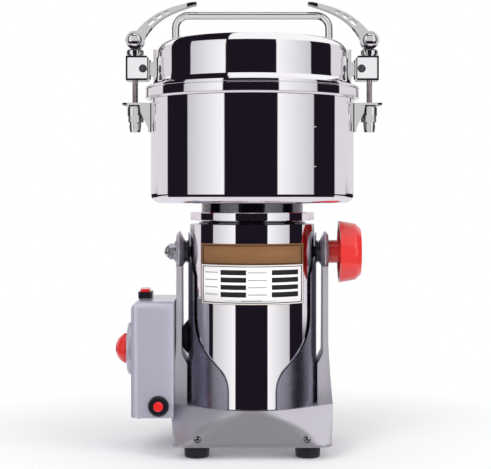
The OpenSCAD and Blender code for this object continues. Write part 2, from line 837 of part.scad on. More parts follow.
// Cast bridge with the lower bearing's seat and the two brush boxes
module brush_bridge() {
    box_x0 = comm_r + 3;
    box_x1 = comm_r + 30;
    color(steel) place() difference() {
        union() {
            translate([0, 0, low_bearing_z - 2]) cylinder(r = seat_r, h = bearing_h + 2);
            translate([0, 0, low_bearing_z - 2]) ring(inner_r - fit, inner_r - 5, bearing_h);
            for (a = [0, 90]) rotate(a) difference() {
                translate([-inner_r + 3, -7, low_bearing_z - 2]) cube([2 * inner_r - 6, 14, 8]);
                translate([0, 0, low_bearing_z - 3]) cylinder(r = seat_r - 1, h = 12);
            }
            both_sides() translate([box_x0, -7, low_bearing_z])
                cube([box_x1 - box_x0, 14, brush_z + brush_h / 2 + 2.5 - low_bearing_z]);
        }
        translate([0, 0, low_bearing_z]) cylinder(r = bearing_r + fit, h = 40);
        translate([0, 0, low_bearing_z - 3]) cylinder(r = bearing_r - 3, h = 10);
        translate([-inner_r, -brush_w / 2 - fit, brush_z - brush_h / 2 - fit])
            cube([2 * inner_r, brush_w + 2 * fit, brush_h + 2 * fit]);
    }
}

// Each brush rests on the commutator and is pressed by a coil spring's sleeve
module carbon_brushes() {
    color(black) place() both_sides() difference() {
        translate([comm_r - 1, -brush_w / 2, brush_z - brush_h / 2]) cube([20, brush_w, brush_h]);
        translate([0, 0, comm_z - 1]) cylinder(r = comm_r + fit, h = comm_h + 2);
    }
}

// Laminated ring with two poles, fore and aft
module stator_core() {
    bore = armature_r + air_gap;
    color(steel) place() translate([0, 0, core_z]) linear_extrude(core_h) difference() {
        union() {
            difference() {
                circle(inner_r - fit, $fn = round_fn);
                circle(inner_r - yoke_t, $fn = round_fn);
            }
            for (a = [90, 270]) rotate(a) {
                translate([armature_r, -pole_w / 2]) square([inner_r - armature_r - yoke_t / 2, pole_w]);
                intersection() {
                    circle(bore + 6);
                    polygon([[0, 0], [60, -60 * tan(pole_angle)], [60, 60 * tan(pole_angle)]]);
                }
            }
        }
        circle(bore, $fn = round_fn);
    }
}

// A winding round each pole
module field_coils() {
    color(copper) place() for (a = [90, 270]) rotate(a) translate([0, 0, core_z - coil_over])
        intersection() {
            difference() {
                translate([armature_r + air_gap + 6.3, -coil_w / 2, 0])
                    cube([coil_t, coil_w, core_h + 2 * coil_over]);
                translate([armature_r, -pole_w / 2 - 0.2, coil_over - 0.2])
                    cube([inner_r - armature_r, pole_w + 0.4, core_h + 0.4]);
            }
            cylinder(r = inner_r - yoke_t - 0.3, h = core_h + 2 * coil_over);
        }
}

// Two ball bearings, each with its rings and balls
module shaft_bearings() {
    ball_r = 2.2;
    track_r = (bearing_r + shaft_r) / 2;
    balls = 9;
    color(steel) place() for (z = [low_bearing_z, top_bearing_z]) translate([0, 0, z]) {
        difference() {
            ring(bearing_r, track_r + 1.4, bearing_h);
            translate([0, 0, bearing_h / 2]) rotate_extrude() translate([track_r, 0]) circle(ball_r + fit);
        }
        difference() {
            ring(track_r - 1.4, shaft_r + fit, bearing_h);
            translate([0, 0, bearing_h / 2]) rotate_extrude() translate([track_r, 0]) circle(ball_r + fit);
        }
        for (i = [0 : balls - 1]) rotate(i * 360 / balls) translate([track_r, 0, bearing_h / 2])
            sphere(ball_r, $fn = 24);
    }
}

// Studs that carry the motor between the arms
module pivot_studs() {
    thread_r = stud_r - 0.8;
    color(dark) place() translate([0, 0, pivot_z]) both_sides() {
        bar_x(12, inner_r - 6, inner_r - 2);
        bar_x(stud_r, inner_r - 6, arm_out + 0.2);
        bar_x(thread_r, arm_out, arm_out + 9);
    }
}

// Ribbed friction washers between the motor and the arms
module pivot_washers() {
    x0 = guard_r + gap;
    x1 = arm_in - 0.1;
    color(black) place() translate([0, 0, pivot_z]) both_sides() difference() {
        bar_x(10.5, x0, x1);
        translate([(x0 + x1) / 2 - 0.5, 0, 0]) rotate([0, 90, 0]) ring(12, 9.3, 1);
        bar_x(stud_r + fit, x0 - 1, x1 + 1);
    }
}

// Cap nut and washer on the left stud
module pivot_cap_nut() {
    x0 = arm_out + 0.3;
    bore_r = stud_r - 0.8 + fit;
    color(steel) place() translate([0, 0, pivot_z]) mirror([1, 0, 0]) {
        difference() {
            bar_x(9.5, x0, x0 + 1.5);
            bar_x(bore_r, x0 - 1, x0 + 3);
        }
        difference() {
            union() {
                translate([x0 + 1.5 + eps, 0, 0]) rotate([0, 90, 0]) hex_z(13, 5);
                bar_x(6.1, x0 + 5, x0 + 7.5);
                translate([x0 + 7.5 - eps, 0, 0]) rotate([0, 90, 0]) dome(6.1, 3.8);
            }
            bar_x(bore_r, x0 + 1, arm_out + 9.1);
        }
    }
}

// ---- Rotor ----

stack_z = bowl_z0 + bowl_floor + 4;
stack_r = shaft_r - 1;
middle_z = stack_z + blade_t + spacer_h;
upper_z = middle_z + blade_t + spacer_h;
nut_z = upper_z + blade_t;

module motor_shaft() {
    color(steel) place() {
        translate([0, 0, low_bearing_z - 1]) cylinder(r = shaft_r, h = stack_z - low_bearing_z + 1);
        translate([0, 0, stack_z - 1]) cylinder(r = stack_r, h = nut_z + 9 - stack_z + 1);
    }
}

module armature_core() {
    color(dark) place() translate([0, 0, core_z]) linear_extrude(core_h) difference() {
        circle(armature_r, $fn = round_fn);
        circle(shaft_r + fit);
        for (i = [0 : armature_slots - 1]) rotate(i * 360 / armature_slots) {
            translate([armature_r - 7, 0]) circle(2.2, $fn = 16);
            translate([armature_r - 7, -0.9]) square([10, 1.8]);
        }
    }
}

// End windings of the armature
module armature_coils() {
    color(copper) place() for (z = [core_z - end_coil_h, core_z + core_h]) translate([0, 0, z])
        rotate_extrude() translate([shaft_r + 3, 0]) rounded_coil(armature_r - 5 - shaft_r, end_coil_h);
}

module rounded_coil(w, h) {
    translate([0, 0]) square([w - h / 2, h]);
    translate([w - h / 2, h / 2]) circle(h / 2);
    translate([-3 + fit, 1]) square([4, h - 2]);
}

module commutator() {
    bars = 24;
    color(copper) place() translate([0, 0, comm_z]) linear_extrude(comm_h) difference() {
        circle(comm_r, $fn = round_fn);
        circle(shaft_r + fit);
        for (i = [0 : bars - 1]) rotate(i * 360 / bars) translate([comm_r - 1.2, -0.3]) square([2, 0.6]);
    }
}

module cooling_fan() {
    color(black) place() translate([0, 0, fan_z]) difference() {
        union() {
            cylinder(r = 12, h = fan_h);
            cylinder(r = fan_r, h = 2);
            for (i = [0 : fan_blades - 1]) rotate(i * 360 / fan_blades) translate([10, 0, 1])
                rotate(24) cube([fan_r - 13, 1.6, fan_h - 1]);
        }
        translate([0, 0, -1]) cylinder(r = shaft_r + fit, h = fan_h + 2);
    }
}

// A bar with swept ends, both leading edges ground to a bevel
module blade(length) {
    half = length / 2;
    w = blade_w / 2;
    difference() {
        linear_extrude(blade_t) difference() {
            union() {
                circle(w * 1.25);
                polygon([[-half, -w * 0.2], [-half + 9, -w], [half - 3, -w], [half, -w * 0.6],
                    [half, w * 0.2], [half - 9, w], [-half + 3, w], [-half, w * 0.6]]);
            }
            circle(stack_r + fit);
        }
        for (a = [0, 180]) rotate(a) translate([half, -w, blade_t]) rotate([0, 0, 180])
            along_x(0, half - 22) polygon([[-4, 1], [-4, 0], [0, -blade_t * 0.8], [1, -blade_t * 0.8], [1, 1]]);
    }
}

module blade_lower() {
    color(steel) place() translate([0, 0, stack_z]) rotate(20) blade(blade_lower_l);
}

module blade_middle() {
    color(steel) place() translate([0, 0, middle_z]) rotate(80) blade(blade_middle_l);
}

module blade_upper() {
    color(steel) place() translate([0, 0, upper_z]) rotate(140) blade(blade_upper_l);
}

module blade_spacers() {
    color(steel) place() for (z = [stack_z, middle_z]) translate([0, 0, z + blade_t])
        ring(9.5, stack_r + fit, spacer_h);
}

module blade_nut() {
    color(steel) place() translate([0, 0, nut_z]) difference() {
        union() {
            cylinder(r = 10.5, h = 1.5);
            hex_z(17, 8.5);
            translate([0, 0, 8.5 - eps]) cylinder(r = 7.4, h = 1.5);
            translate([0, 0, 10 - 2 * eps]) dome(7.4, 4);
        }
        translate([0, 0, -1]) cylinder(r = stack_r + fit, h = 10.1);
    }
}

// ---- Chamber ----

rim_r = bowl_r + rim_out;
rim_wall = 1.5;
step_z = rim_z0 + 2;
bowl_in = bowl_r - bowl_wall;
neck_wall = 4;

// Spool between the motor's top plate and the chamber's floor
module neck_collar() {
    color(dark) place() translate([0, 0, motor_z1]) difference() {
        union() {
            ring(neck_r, neck_r - neck_wall, neck_h, $fn = round_fn);
            cylinder(r = neck_r + 2.5, h = 2);
            cylinder(r = neck_r - 1, h = 4);
            translate([0, 0, neck_h - 4]) cylinder(r = neck_r - 1, h = 4);
        }
        translate([0, 0, -1]) cylinder(r = hub_bore_r, h = neck_h + 2);
        at_neck_screws() translate([0, 0, -1]) cylinder(r = 2 + fit, h = 6);
        rotate(45) at_neck_screws() translate([0, 0, neck_h - 5]) cylinder(r = 2 + fit, h = 6);
    }
}

// Screws through the chamber's floor and through the neck's lower disc
module chamber_screws() {
    color(steel) place() {
        at_neck_screws() translate([0, 0, motor_z1 + 4]) pan_screw(3.8, 2.4, 2, plate_t + 4);
        rotate(45) at_neck_screws() translate([0, 0, bowl_z0 + bowl_floor]) pan_screw(3.8, 2.4, 2, bowl_floor + 4);
    }
}

// Deep-drawn chamber with a stepped rim that takes the lid's seal
module grinding_bowl() {
    color(steel) place() translate([0, 0, bowl_z0]) difference() {
        rotate_extrude($fn = round_fn) difference() {
            union() {
                cup_outline(bowl_r, bowl_h + 3, bowl_edge_r);
                translate([0, bowl_h]) cup_outline(rim_r, rim_h - 1, 3);
                translate([0, bowl_h + 3]) square([rim_r - 0.7, rim_h - 3]);
                translate([rim_r - 0.75, bowl_h + rim_h - 1]) circle(0.75);
            }
            translate([0, bowl_floor]) cup_outline(bowl_in, bowl_h + 3, bowl_edge_r - bowl_wall);
            translate([0, step_z - bowl_z0]) square([rim_r - rim_wall, rim_h]);
        }
        translate([0, 0, -1]) cylinder(r = hub_bore_r, h = bowl_floor + 2);
        rotate(45) at_neck_screws() translate([0, 0, -1]) cylinder(r = 2 + fit, h = bowl_floor + 2);
    }
}

// Lip seal round the shaft, in the bore of neck and floor
module shaft_seal() {
    color(black) place() translate([0, 0, bowl_z0 - 4]) difference() {
        union() {
            cylinder(r = hub_bore_r - fit, h = 4 + bowl_floor);
            translate([0, 0, 4 + bowl_floor - eps]) cylinder(r1 = hub_bore_r - 1, r2 = 9, h = 3);
        }
        translate([0, 0, -1]) cylinder(r = shaft_r + 0.08, h = 20);
    }
}

slot_half = rod_r + gap;
flange_in = bowl_r + fit;
keeper_top = flange_z - bracket_t;
bracket_half = 11;
gusset_out = 10;

// Slot that is open outwards, for a rod that swings out of it
module rod_slot(z0, z1) {
    translate([rod_x, 0, z0]) cylinder(r = slot_half, h = z1 - z0);
    translate([rod_x, -slot_half, z0]) cube([30, 2 * slot_half, z1 - z0]);
}

// Brackets on the chamber: a plate on the wall, a slotted flange and two gussets
module catch_brackets() {
    color(steel) place() both_sides() difference() {
        union() {
            translate([flange_in, -bracket_half, keeper_top])
                cube([rod_x + flange_reach - flange_in, 2 * bracket_half, bracket_t]);
            translate([flange_in, -bracket_half, flange_z - 27]) cube([bracket_t, 2 * bracket_half, 27]);
            for (s = [0, 1]) mirror([0, s, 0]) along_y(-bracket_half, 2 - bracket_half)
                polygon([[flange_in, keeper_top + eps], [flange_in + gusset_out, keeper_top + eps],
                    [flange_in + gusset_out - 1, keeper_top - 7], [flange_in + 2, keeper_top - 22],
                    [flange_in, keeper_top - 22]]);
        }
        rod_slot(keeper_top - 1, flange_z + 1);
    }
}

// Split nuts under the flanges: a rod drops in from outside and stops on the screw below
module latch_keepers() {
    foot_z = keeper_top - keeper_h;
    neck_z = foot_z + 0.25 * keeper_h;
    color(steel) place() both_sides() {
        difference() {
            translate([rod_x, 0, 0]) union() {
                translate([0, 0, neck_z]) cylinder(r = keeper_r - 1.8, h = 3);
                translate([0, 0, neck_z + 3 - eps]) hex_z(1.82 * keeper_r, 6);
                translate([0, 0, neck_z + 9 - eps]) cylinder(r = keeper_r, h = keeper_top - neck_z - 11);
                translate([0, 0, keeper_top - 2 - 2 * eps])
                    cylinder(r1 = keeper_r, r2 = keeper_r - 1.5, h = 2 + 2 * eps);
            }
            rod_slot(neck_z - 1, keeper_top + 1);
        }
        translate([rod_x, 0, neck_z]) mirror([0, 0, 1]) {
            cylinder(r1 = keeper_r - 1.8, r2 = keeper_r - 2.6, h = neck_z - foot_z);
            mirror([0, 0, 1]) cylinder(r = rod_r, h = 1);
        }
    }
}

// ---- Lid ----

seal_h = 6;
lid_flange_t = 2;
plug_t = 1.2;
plug_flange_z = step_z + 0.1 + seal_h;
lid_z0 = plug_flange_z + plug_t;
lid_flange_r = rim_r - rim_wall - 0.4;
plug_r = bowl_in - 0.7;
plug_z0 = rim_z0 - plug_h;
latch_pin_z = rim_z1 + 13;
block_z0 = rim_z1 + 2;
block_z1 = block_z0 + block_h;
collar_h = 6.3;
cam_z = block_z1 + collar_h + 0.15 + cam_r;
eye_half = rod_r + 0.4;
lug_half = 8;
tongue_half = 5;

// Pressed lid with a round shoulder and a flat flange
module lid_shell() {
    h = lid_z1 - lid_z0;
    color(steel) place() difference() {
        translate([0, 0, lid_z1]) mirror([0, 0, 1]) rotate_extrude($fn = round_fn) difference() {
            union() {
                cup_outline(lid_r, h, lid_shoulder_r);
                translate([0, h - lid_flange_t]) square([lid_flange_r, lid_flange_t]);
            }
            translate([0, lid_wall]) cup_outline(lid_r - lid_wall, h, lid_shoulder_r - lid_wall);
        }
        both_sides() translate([handle_half, 0, lid_z1 - lid_wall - 1]) cylinder(r = 2.5 + fit, h = lid_wall + 2);
    }
}

// Pan that closes the lid from below and centres it in the chamber
module lid_plug() {
    h = lid_z0 - plug_z0;
    color(steel) place() translate([0, 0, plug_z0]) rotate_extrude($fn = round_fn) difference() {
        union() {
            cup_outline(plug_r, h, 4);
            translate([0, h - plug_t]) square([lid_flange_r, plug_t]);
        }
        translate([0, plug_t]) cup_outline(plug_r - plug_t, h, 4 - plug_t);
    }
}

module lid_seal() {
    color(silicone) place() translate([0, 0, plug_flange_z - seal_h]) rotate_extrude($fn = round_fn)
        difference() {
            translate([plug_r + fit, 0]) square([lid_flange_r - plug_r - fit, seal_h]);
            translate([lid_flange_r, seal_h / 2]) circle(1.2);
        }
}

// Bent rod with two collars, threaded ends below the lid's top
module lid_handle() {
    bar_z = lid_z1 + handle_h - handle_rod_r;
    bend_x = handle_half - handle_bend_r;
    bend_z = bar_z - handle_bend_r;
    color(steel) place() {
        translate([0, 0, bar_z]) bar_x(handle_rod_r, -bend_x, bend_x);
        both_sides() {
            translate([bend_x, 0, bend_z]) rotate([90, 0, 0])
                rotate_extrude(angle = 90) translate([handle_bend_r, 0]) circle(handle_rod_r);
            translate([handle_half, 0, lid_z1]) {
                cylinder(r = handle_rod_r, h = bend_z - lid_z1);
                cylinder(r1 = handle_rod_r + 2.5, r2 = handle_rod_r + 1.5, h = 2.5);
                translate([0, 0, -lid_wall - 6]) cylinder(r = 2.5, h = lid_wall + 7);
            }
        }
    }
}

module handle_nuts() {
    color(steel) place() both_sides() translate([handle_half, 0, lid_z1 - lid_wall - 5.5]) difference() {
        union() {
            hex_z(8, 4);
            translate([0, 0, 4]) cylinder(r = 5.5, h = 1.5 - fit);
        }
        translate([0, 0, -1]) cylinder(r = 2.5 + fit, h = 8);
    }
}

// Lugs on the lid's wall, with the pins that the latches swing on
module lid_lugs() {
    end_r = rod_x - rod_r - 1 - latch_pin_x;
    color(steel) place() both_sides() {
        difference() {
            union() {
                intersection() {
                    translate([lid_r - 2, -lug_half, rim_z1 + 1]) cube([4, 2 * lug_half, lid_h - 8]);
                    translate([0, 0, rim_z1]) ring(lid_r + 4, lid_r + fit, lid_h, $fn = round_fn);
                }
                along_y(-tongue_half, tongue_half) union() {
                    translate([latch_pin_x, latch_pin_z]) circle(end_r);
                    polygon([[lid_r + 1, latch_pin_z - 7], [latch_pin_x, latch_pin_z - end_r],
                        [latch_pin_x, latch_pin_z + end_r], [lid_r + 1, latch_pin_z + 7]]);
                }
            }
            translate([latch_pin_x, 0, latch_pin_z]) bar_y(latch_pin_r + fit, -20, 20);
        }
        translate([latch_pin_x, 0, latch_pin_z]) {
            bar_y(latch_pin_r, -block_d / 2 - 0.5, block_d / 2 + 1);
            bar_y(3, -block_d / 2 - 2.2, -block_d / 2 - 0.25, 3.8);
        }
    }
}

// ---- Latches ----

block_x0 = latch_pin_x - 6;
block_x1 = block_x0 + block_w;
block_wall = 2;

// Folded yoke, open towards the lid, that swings on the lug's pin; drawn for the right side
module latch_block() {
    cavity_z0 = block_z0 + block_wall;
    color(steel) difference() {
        along_y(-block_d / 2, block_d / 2) polygon([
            [block_x0 + 2.5, block_z0], [block_x1, block_z0], [block_x1, block_z1],
            [block_x0 + 3, block_z1], [block_x0, block_z1 - 3], [block_x0, block_z0 + 2.5]]);
        translate([block_x0 - 1, block_wall - block_d / 2, cavity_z0])
            cube([block_x1 - block_wall - block_x0 + 1, block_d - 2 * block_wall, block_h - 2 * block_wall]);
        translate([rod_x, 0, block_z0 - 1]) cylinder(r = rod_r + 0.1, h = block_h + 2);
        translate([latch_pin_x, 0, latch_pin_z]) bar_y(latch_pin_r + fit, -block_d, block_d);
    }
}

// Rod with its eye for the cam's pin, and the saddle that the cam presses on
module latch_rod() {
    rod_z0 = keeper_top - 0.75 * keeper_h + 1.3;
    color(steel) {
        difference() {
            union() {
                translate([rod_x, 0, rod_z0]) cylinder(r = rod_r, h = cam_z - rod_z0 - 3);
                translate([rod_x, 0, cam_z]) bar_y(4.6, -eye_half, eye_half);
            }
            translate([rod_x, 0, cam_z]) bar_y(2 + fit, -5, 5);
        }
        difference() {
            translate([rod_x, 0, block_z1]) union() {
                cylinder(r = 6.5, h = 1.6);
                translate([0, 0, 1.6 - eps]) cylinder(r = 8, h = collar_h - 2.6 + eps);
                translate([0, 0, collar_h - 1 - eps]) cylinder(r1 = 8, r2 = 7, h = 1 + eps);
            }
            translate([rod_x, 0, block_z1 - 1]) cylinder(r = rod_r + fit, h = collar_h + 2);
        }
    }
}

// Middle line of a lever from the cam's pin to its tip, and its half height there
function lever_mid(t) = bezier([-3, 2], [-16, 22], [-30, 28], [-56.5, 34.7], t);
function lever_half(t) = 5.4 - 3.9 * pow(t, 0.75);
function lever_dir(t) = let (v = lever_mid(t + 0.01) - lever_mid(t - 0.01)) v / norm(v);
function lever_side(t, s) = lever_mid(t) + s * lever_half(t) * [-lever_dir(t)[1], lever_dir(t)[0]];

// Clamping lever with its cam, cut for the rod's eye and lightened by oval holes
module lever() {
    steps = 12;
    tip = lever_mid(1);
    slot_room = eye_half + gap;
    translate([rod_x, 0, cam_z]) {
        color(steel) difference() {
            along_y(-lever_d / 2, lever_d / 2) difference() {
                union() {
                    circle(cam_r);
                    polygon(concat([for (i = [0 : steps]) lever_side(i / steps, 1)],
                        [for (i = [steps : -1 : 0]) lever_side(i / steps, -1)]));
                    translate(tip) circle(lever_half(1));
                }
                for (hole = [[0.3, 2.5], [0.46, 2.2], [0.6, 1.7]])
                    translate(lever_mid(hole[0])) rotate(atan2(lever_dir(hole[0])[1], lever_dir(hole[0])[0])) {
                        for (s = [-1, 1]) translate([s * hole[1] * 0.7, 0]) circle(hole[1] * 0.8);
                        square([hole[1] * 1.4, hole[1] * 1.6], center = true);
                    }
            }
            bar_y(2 + fit, -lever_d, lever_d);
            translate([-5.2, -slot_room, -cam_r - 1]) cube([cam_r + 10, 2 * slot_room, cam_r + 6.5]);
        }
        color(steel) {
            bar_y(2, -lever_d / 2 - 0.3, lever_d / 2 + 0.3);
            bar_y(4.6, -lever_d / 2 - 2.2, -lever_d / 2 - 0.1, 5.4);
            bar_y(5.4, lever_d / 2 + 0.1, lever_d / 2 + 2.2, 4.6);
        }
    }
}

module latch_block_left() {
    place() mirror([1, 0, 0]) latch_block();
}

module latch_block_right() {
    place() latch_block();
}

module latch_rod_left() {
    place() mirror([1, 0, 0]) latch_rod();
}

module latch_rod_right() {
    place() latch_rod();
}

module lever_left() {
    place() mirror([1, 0, 0]) lever();
}

module lever_right() {
    place() lever();
}

// ---- Lock knob ----

// Knob's outside from x1 on: eight sides with rounded corners, and a turned edge
module knob_form(x1) {
    sides = 8;
    side_over = 1.055;
    face_over = 1.04;
    edge_r = knob_face_r - 0.9 * knob_edge_h;
    translate([x1, 0, 0]) rotate([0, 90, 0]) intersection() {
        rotate_extrude() polygon([
            [0, 0],
            [knob_r, 0],
            [knob_face_r, knob_l - knob_edge_h],
            [edge_r, knob_l],
            [0, knob_l]
        ]);
        rotate(180 / sides)
            cylinder(r1 = knob_r * side_over, r2 = knob_face_r * face_over, h = knob_l, $fn = sides);
    }
}

// Eight-sided dished knob with a long hub, threaded on the right stud
module lock_knob() {
    wall = 3;
    x0 = arm_out + gap;
    x1 = x0 + hub_l;
    x2 = x1 + knob_l;
    bore_r = stud_r - 0.8 + fit;
    color(red) place() translate([0, 0, pivot_z]) difference() {
        union() {
            bar_x(hub_r, x0, x2 - wall / 2);
            difference() {
                knob_form(x1);
                bar_x(knob_r - 1.1 * wall, x1 - 1, x2 - wall, knob_face_r - 1.9 * wall);
            }
        }
        bar_x(bore_r, x0 - 1, arm_out + 9.2);
    }
}

cradle_casting();
base_sole();
rubber_feet();
foot_screws();
sole_screws();
motor_guard();
pivot_bushes();
control_box_shell();
control_box_floor();
box_floor_screws();
box_mount_screws();
timer_dial();
timer_mechanism();
switch_bezel();
breaker_body();
mains_gland();
lead_grommet();
motor_shell();
motor_top_plate();
motor_end_cap();
brush_bridge();
stator_core();
field_coils();
shaft_bearings();
carbon_brushes();
pivot_studs();
pivot_washers();
pivot_cap_nut();
neck_collar();
chamber_screws();
grinding_bowl();
shaft_seal();
catch_brackets();
latch_keepers();
motor_shaft();
armature_core();
armature_coils();
commutator();
cooling_fan();
blade_lower();
blade_middle();
blade_upper();
blade_spacers();
blade_nut();
lid_shell();
lid_plug();
lid_seal();
lid_handle();
handle_nuts();
lid_lugs();
latch_block_left();
latch_block_right();
latch_rod_left();
latch_rod_right();
lever_left();
lever_right();
lock_knob();
timer_knob();
power_rocker();
reset_button();
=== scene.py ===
"""Looks of the electric grain mill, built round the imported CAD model.

CAD nodes keep their shapes and get materials and soft edges. Pieces that the CAD leaves out
(rolled rim, label, dial, threads, screw heads) are built here from the nodes' boxes. The
studio gives the polished steel panels, cards and a pale floor to mirror.
"""

import json
import math

import bmesh
import bpy
from mathutils import Matrix, Vector


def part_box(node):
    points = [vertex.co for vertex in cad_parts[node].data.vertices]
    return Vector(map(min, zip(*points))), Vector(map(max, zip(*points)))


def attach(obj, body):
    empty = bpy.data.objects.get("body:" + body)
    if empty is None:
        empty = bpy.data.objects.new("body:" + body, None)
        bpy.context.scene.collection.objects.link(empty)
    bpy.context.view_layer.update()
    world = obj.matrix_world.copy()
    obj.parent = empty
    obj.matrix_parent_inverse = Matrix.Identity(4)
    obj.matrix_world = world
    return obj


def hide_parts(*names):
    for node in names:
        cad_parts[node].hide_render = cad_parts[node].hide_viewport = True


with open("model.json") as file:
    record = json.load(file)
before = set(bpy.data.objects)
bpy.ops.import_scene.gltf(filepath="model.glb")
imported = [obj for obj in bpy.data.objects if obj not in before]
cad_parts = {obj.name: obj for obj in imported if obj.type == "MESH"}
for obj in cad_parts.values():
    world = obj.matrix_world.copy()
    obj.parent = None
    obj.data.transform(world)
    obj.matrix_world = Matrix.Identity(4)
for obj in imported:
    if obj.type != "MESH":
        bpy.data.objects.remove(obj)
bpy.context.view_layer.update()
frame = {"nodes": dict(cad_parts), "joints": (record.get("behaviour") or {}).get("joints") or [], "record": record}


NODES = frame["nodes"]
RECORD = frame["record"]
BODY_OF = {node: body for body, nodes in RECORD["behaviour"]["bodies"].items() for node in nodes}

MM = 0.001
AXIS_X = 3.65 * MM  # the motor's axis over the footprint
FRONT, BACK = -1, 1  # the two ways along Y
SIDES = ((1, "right"), (-1, "left"))
WHITE = (1.0, 1.0, 1.0)


# ---- Shader helpers ----


class Graph:
    """A node tree with short calls for what the materials share."""

    def __init__(self, tree):
        self.tree = tree
        tree.nodes.clear()

    def node(self, kind, **sockets):
        made = self.tree.nodes.new(kind)
        for name, value in sockets.items():
            self.put(made.inputs[name.replace("_", " ")], value)
        return made

    def put(self, socket, value):
        if isinstance(value, bpy.types.NodeSocket):
            self.tree.links.new(value, socket)
        elif value is not None:
            socket.default_value = value

    def fill(self, node, values):
        """The first inputs of a node, in their order."""
        for i, value in enumerate(values):
            self.put(node.inputs[i], value)

    def math(self, operation, a, b=None, clamp=False):
        made = self.tree.nodes.new("ShaderNodeMath")
        made.operation = operation
        made.use_clamp = clamp
        self.fill(made, (a, b))
        return made.outputs[0]

    def vector(self, operation, a, b=None):
        made = self.tree.nodes.new("ShaderNodeVectorMath")
        made.operation = operation
        self.fill(made, (a, b))
        return made.outputs["Value" if operation == "LENGTH" else "Vector"]

    def mix(self, factor, a, b):
        """A colour between a and b."""
        made = self.tree.nodes.new("ShaderNodeMix")
        made.data_type = "RGBA"
        self.put(made.inputs[0], factor)
        for i, value in ((6, a), (7, b)):
            if isinstance(value, tuple) and len(value) == 3:
                value = (*value, 1.0)
            self.put(made.inputs[i], value)
        return made.outputs[2]

    def blend(self, factor, a, b):
        """A shader between a and b."""
        made = self.node("ShaderNodeMixShader")
        self.fill(made, (factor, a, b))
        return made.outputs[0]

    def step(self, value, low, high):
        """0 below low, 1 above high, smooth between."""
        made = self.tree.nodes.new("ShaderNodeMapRange")
        made.interpolation_type = "SMOOTHSTEP"
        self.fill(made, (value, low, high, 0.0, 1.0))
        return made.outputs[0]

    def ramp(self, value, low, high, out_low, out_high):
        made = self.tree.nodes.new("ShaderNodeMapRange")
        self.fill(made, (value, low, high, out_low, out_high))
        return made.outputs[0]

    def place(self, scale=(1, 1, 1)):
        """The piece's own coordinates, stretched."""
        mapping = self.node("ShaderNodeMapping")
        self.put(mapping.inputs[0], self.node("ShaderNodeTexCoord").outputs["Object"])
        mapping.inputs["Scale"].default_value = scale
        return mapping.outputs[0]

    def noise(self, scale, detail=3.0, where=None):
        made = self.node("ShaderNodeTexNoise", Scale=scale, Detail=detail)
        self.put(made.inputs["Vector"], where or self.place())
        return made.outputs[0]

    def bump(self, height, strength, distance):
        return self.node("ShaderNodeBump", Strength=strength, Distance=distance, Height=height)

    def finish(self, output, result):
        self.put(self.node(output).inputs[0], result)


MATERIALS = {}
BLOTCH_DETAIL, GRAIN_DETAIL, LINE_DETAIL = 4.0, 3.0, 2.0
TONE_RANGE = (0.3, 0.7)  # noise values between the darkest and the lightest tone
ROUGH_RANGE = (0.25, 0.75)  # noise values between the smoothest and the roughest place
EDGE_SHADE_RANGE = (0.14, 0.6)  # how edge-on a face is where its painted edge shade starts, and where it is full
LEAST_ROUGH = 0.02


def material(name, colour, rough, metal=0.0, shade=0.03, spread=0.02, spot=60.0, grain=None,
             lines=None, rim=None, **extra):
    """A principled material whose colour and roughness vary a little over the piece.

    shade and spread say how much colour and roughness vary, and spot how finely; grain is
    (scale, strength, depth) of an even bump; lines is (stretch, scale, strength, depth) of
    a drawn or turned one; rim is the tone painted on faces seen edge-on, a painted shade
    that stands in for the dark surroundings metal would mirror there.
    """
    made = bpy.data.materials.new(name)
    made.use_nodes = True
    g = Graph(made.node_tree)
    shader = g.node("ShaderNodeBsdfPrincipled", Metallic=metal)
    blotch = g.noise(spot, BLOTCH_DETAIL)
    dark = tuple(c * (1 - shade) for c in colour)
    light = tuple(min(1.0, c * (1 + shade)) for c in colour)
    tone = g.mix(g.ramp(blotch, *TONE_RANGE, 0.0, 1.0), dark, light)
    # Painted shade: faces seen edge-on darken towards the rim tone, standing in for the dark surroundings metal
    # would mirror there
    if rim:
        edge_on = g.node("ShaderNodeLayerWeight", Blend=0.5).outputs["Facing"]
        tone = g.mix(g.step(edge_on, *EDGE_SHADE_RANGE), tone, (rim, rim, rim))
    g.put(shader.inputs["Base Color"], tone)
    low_rough = max(rough - spread, LEAST_ROUGH)
    g.put(shader.inputs["Roughness"], g.ramp(blotch, *ROUGH_RANGE, low_rough, rough + spread))
    normal = None
    if grain:
        scale, strength, depth = grain
        normal = g.bump(g.noise(scale, GRAIN_DETAIL), strength, depth).outputs[0]
    if lines:
        stretch, scale, strength, depth = lines
        drawn = g.bump(g.noise(scale, LINE_DETAIL, g.place(stretch)), strength, depth)
        g.put(drawn.inputs["Normal"], normal)
        normal = drawn.outputs[0]
    g.put(shader.inputs["Normal"], normal)
    for socket, value in extra.items():
        g.put(shader.inputs[socket.replace("_", " ")], value)
    g.finish("ShaderNodeOutputMaterial", shader.outputs[0])
    MATERIALS[name] = made


# Stretch of fine lines that run round the Z axis, and across X
ROUND_Z = (0.02, 0.02, 1.0)
ACROSS_X = (1.0, 0.04, 0.04)

material("cast_paint", (0.59, 0.565, 0.62), 0.38, 0.72, shade=0.015, grain=(1400, 0.05, 0.0001))
material("box_paint", (0.50, 0.49, 0.58), 0.30, 0.35, shade=0.015, grain=(900, 0.03, 0.0001),
         Coat_Weight=0.4, Coat_Roughness=0.12)
material("polished_steel", (0.93, 0.91, 0.94), 0.03, 1.0, shade=0.01, spread=0.008,
         lines=(ROUND_Z, 3000, 0.01, 0.00002))
material("satin_steel", (0.42, 0.41, 0.50), 0.27, 1.0, shade=0.015,
         lines=(ROUND_Z, 4000, 0.015, 0.00001))
# rim=0.08 paints a dark shade on edge-on faces, a painted reflection of dark surroundings
material("chrome_parts", (0.90, 0.88, 0.90), 0.07, 1.0, spread=0.03, spot=300, rim=0.08)
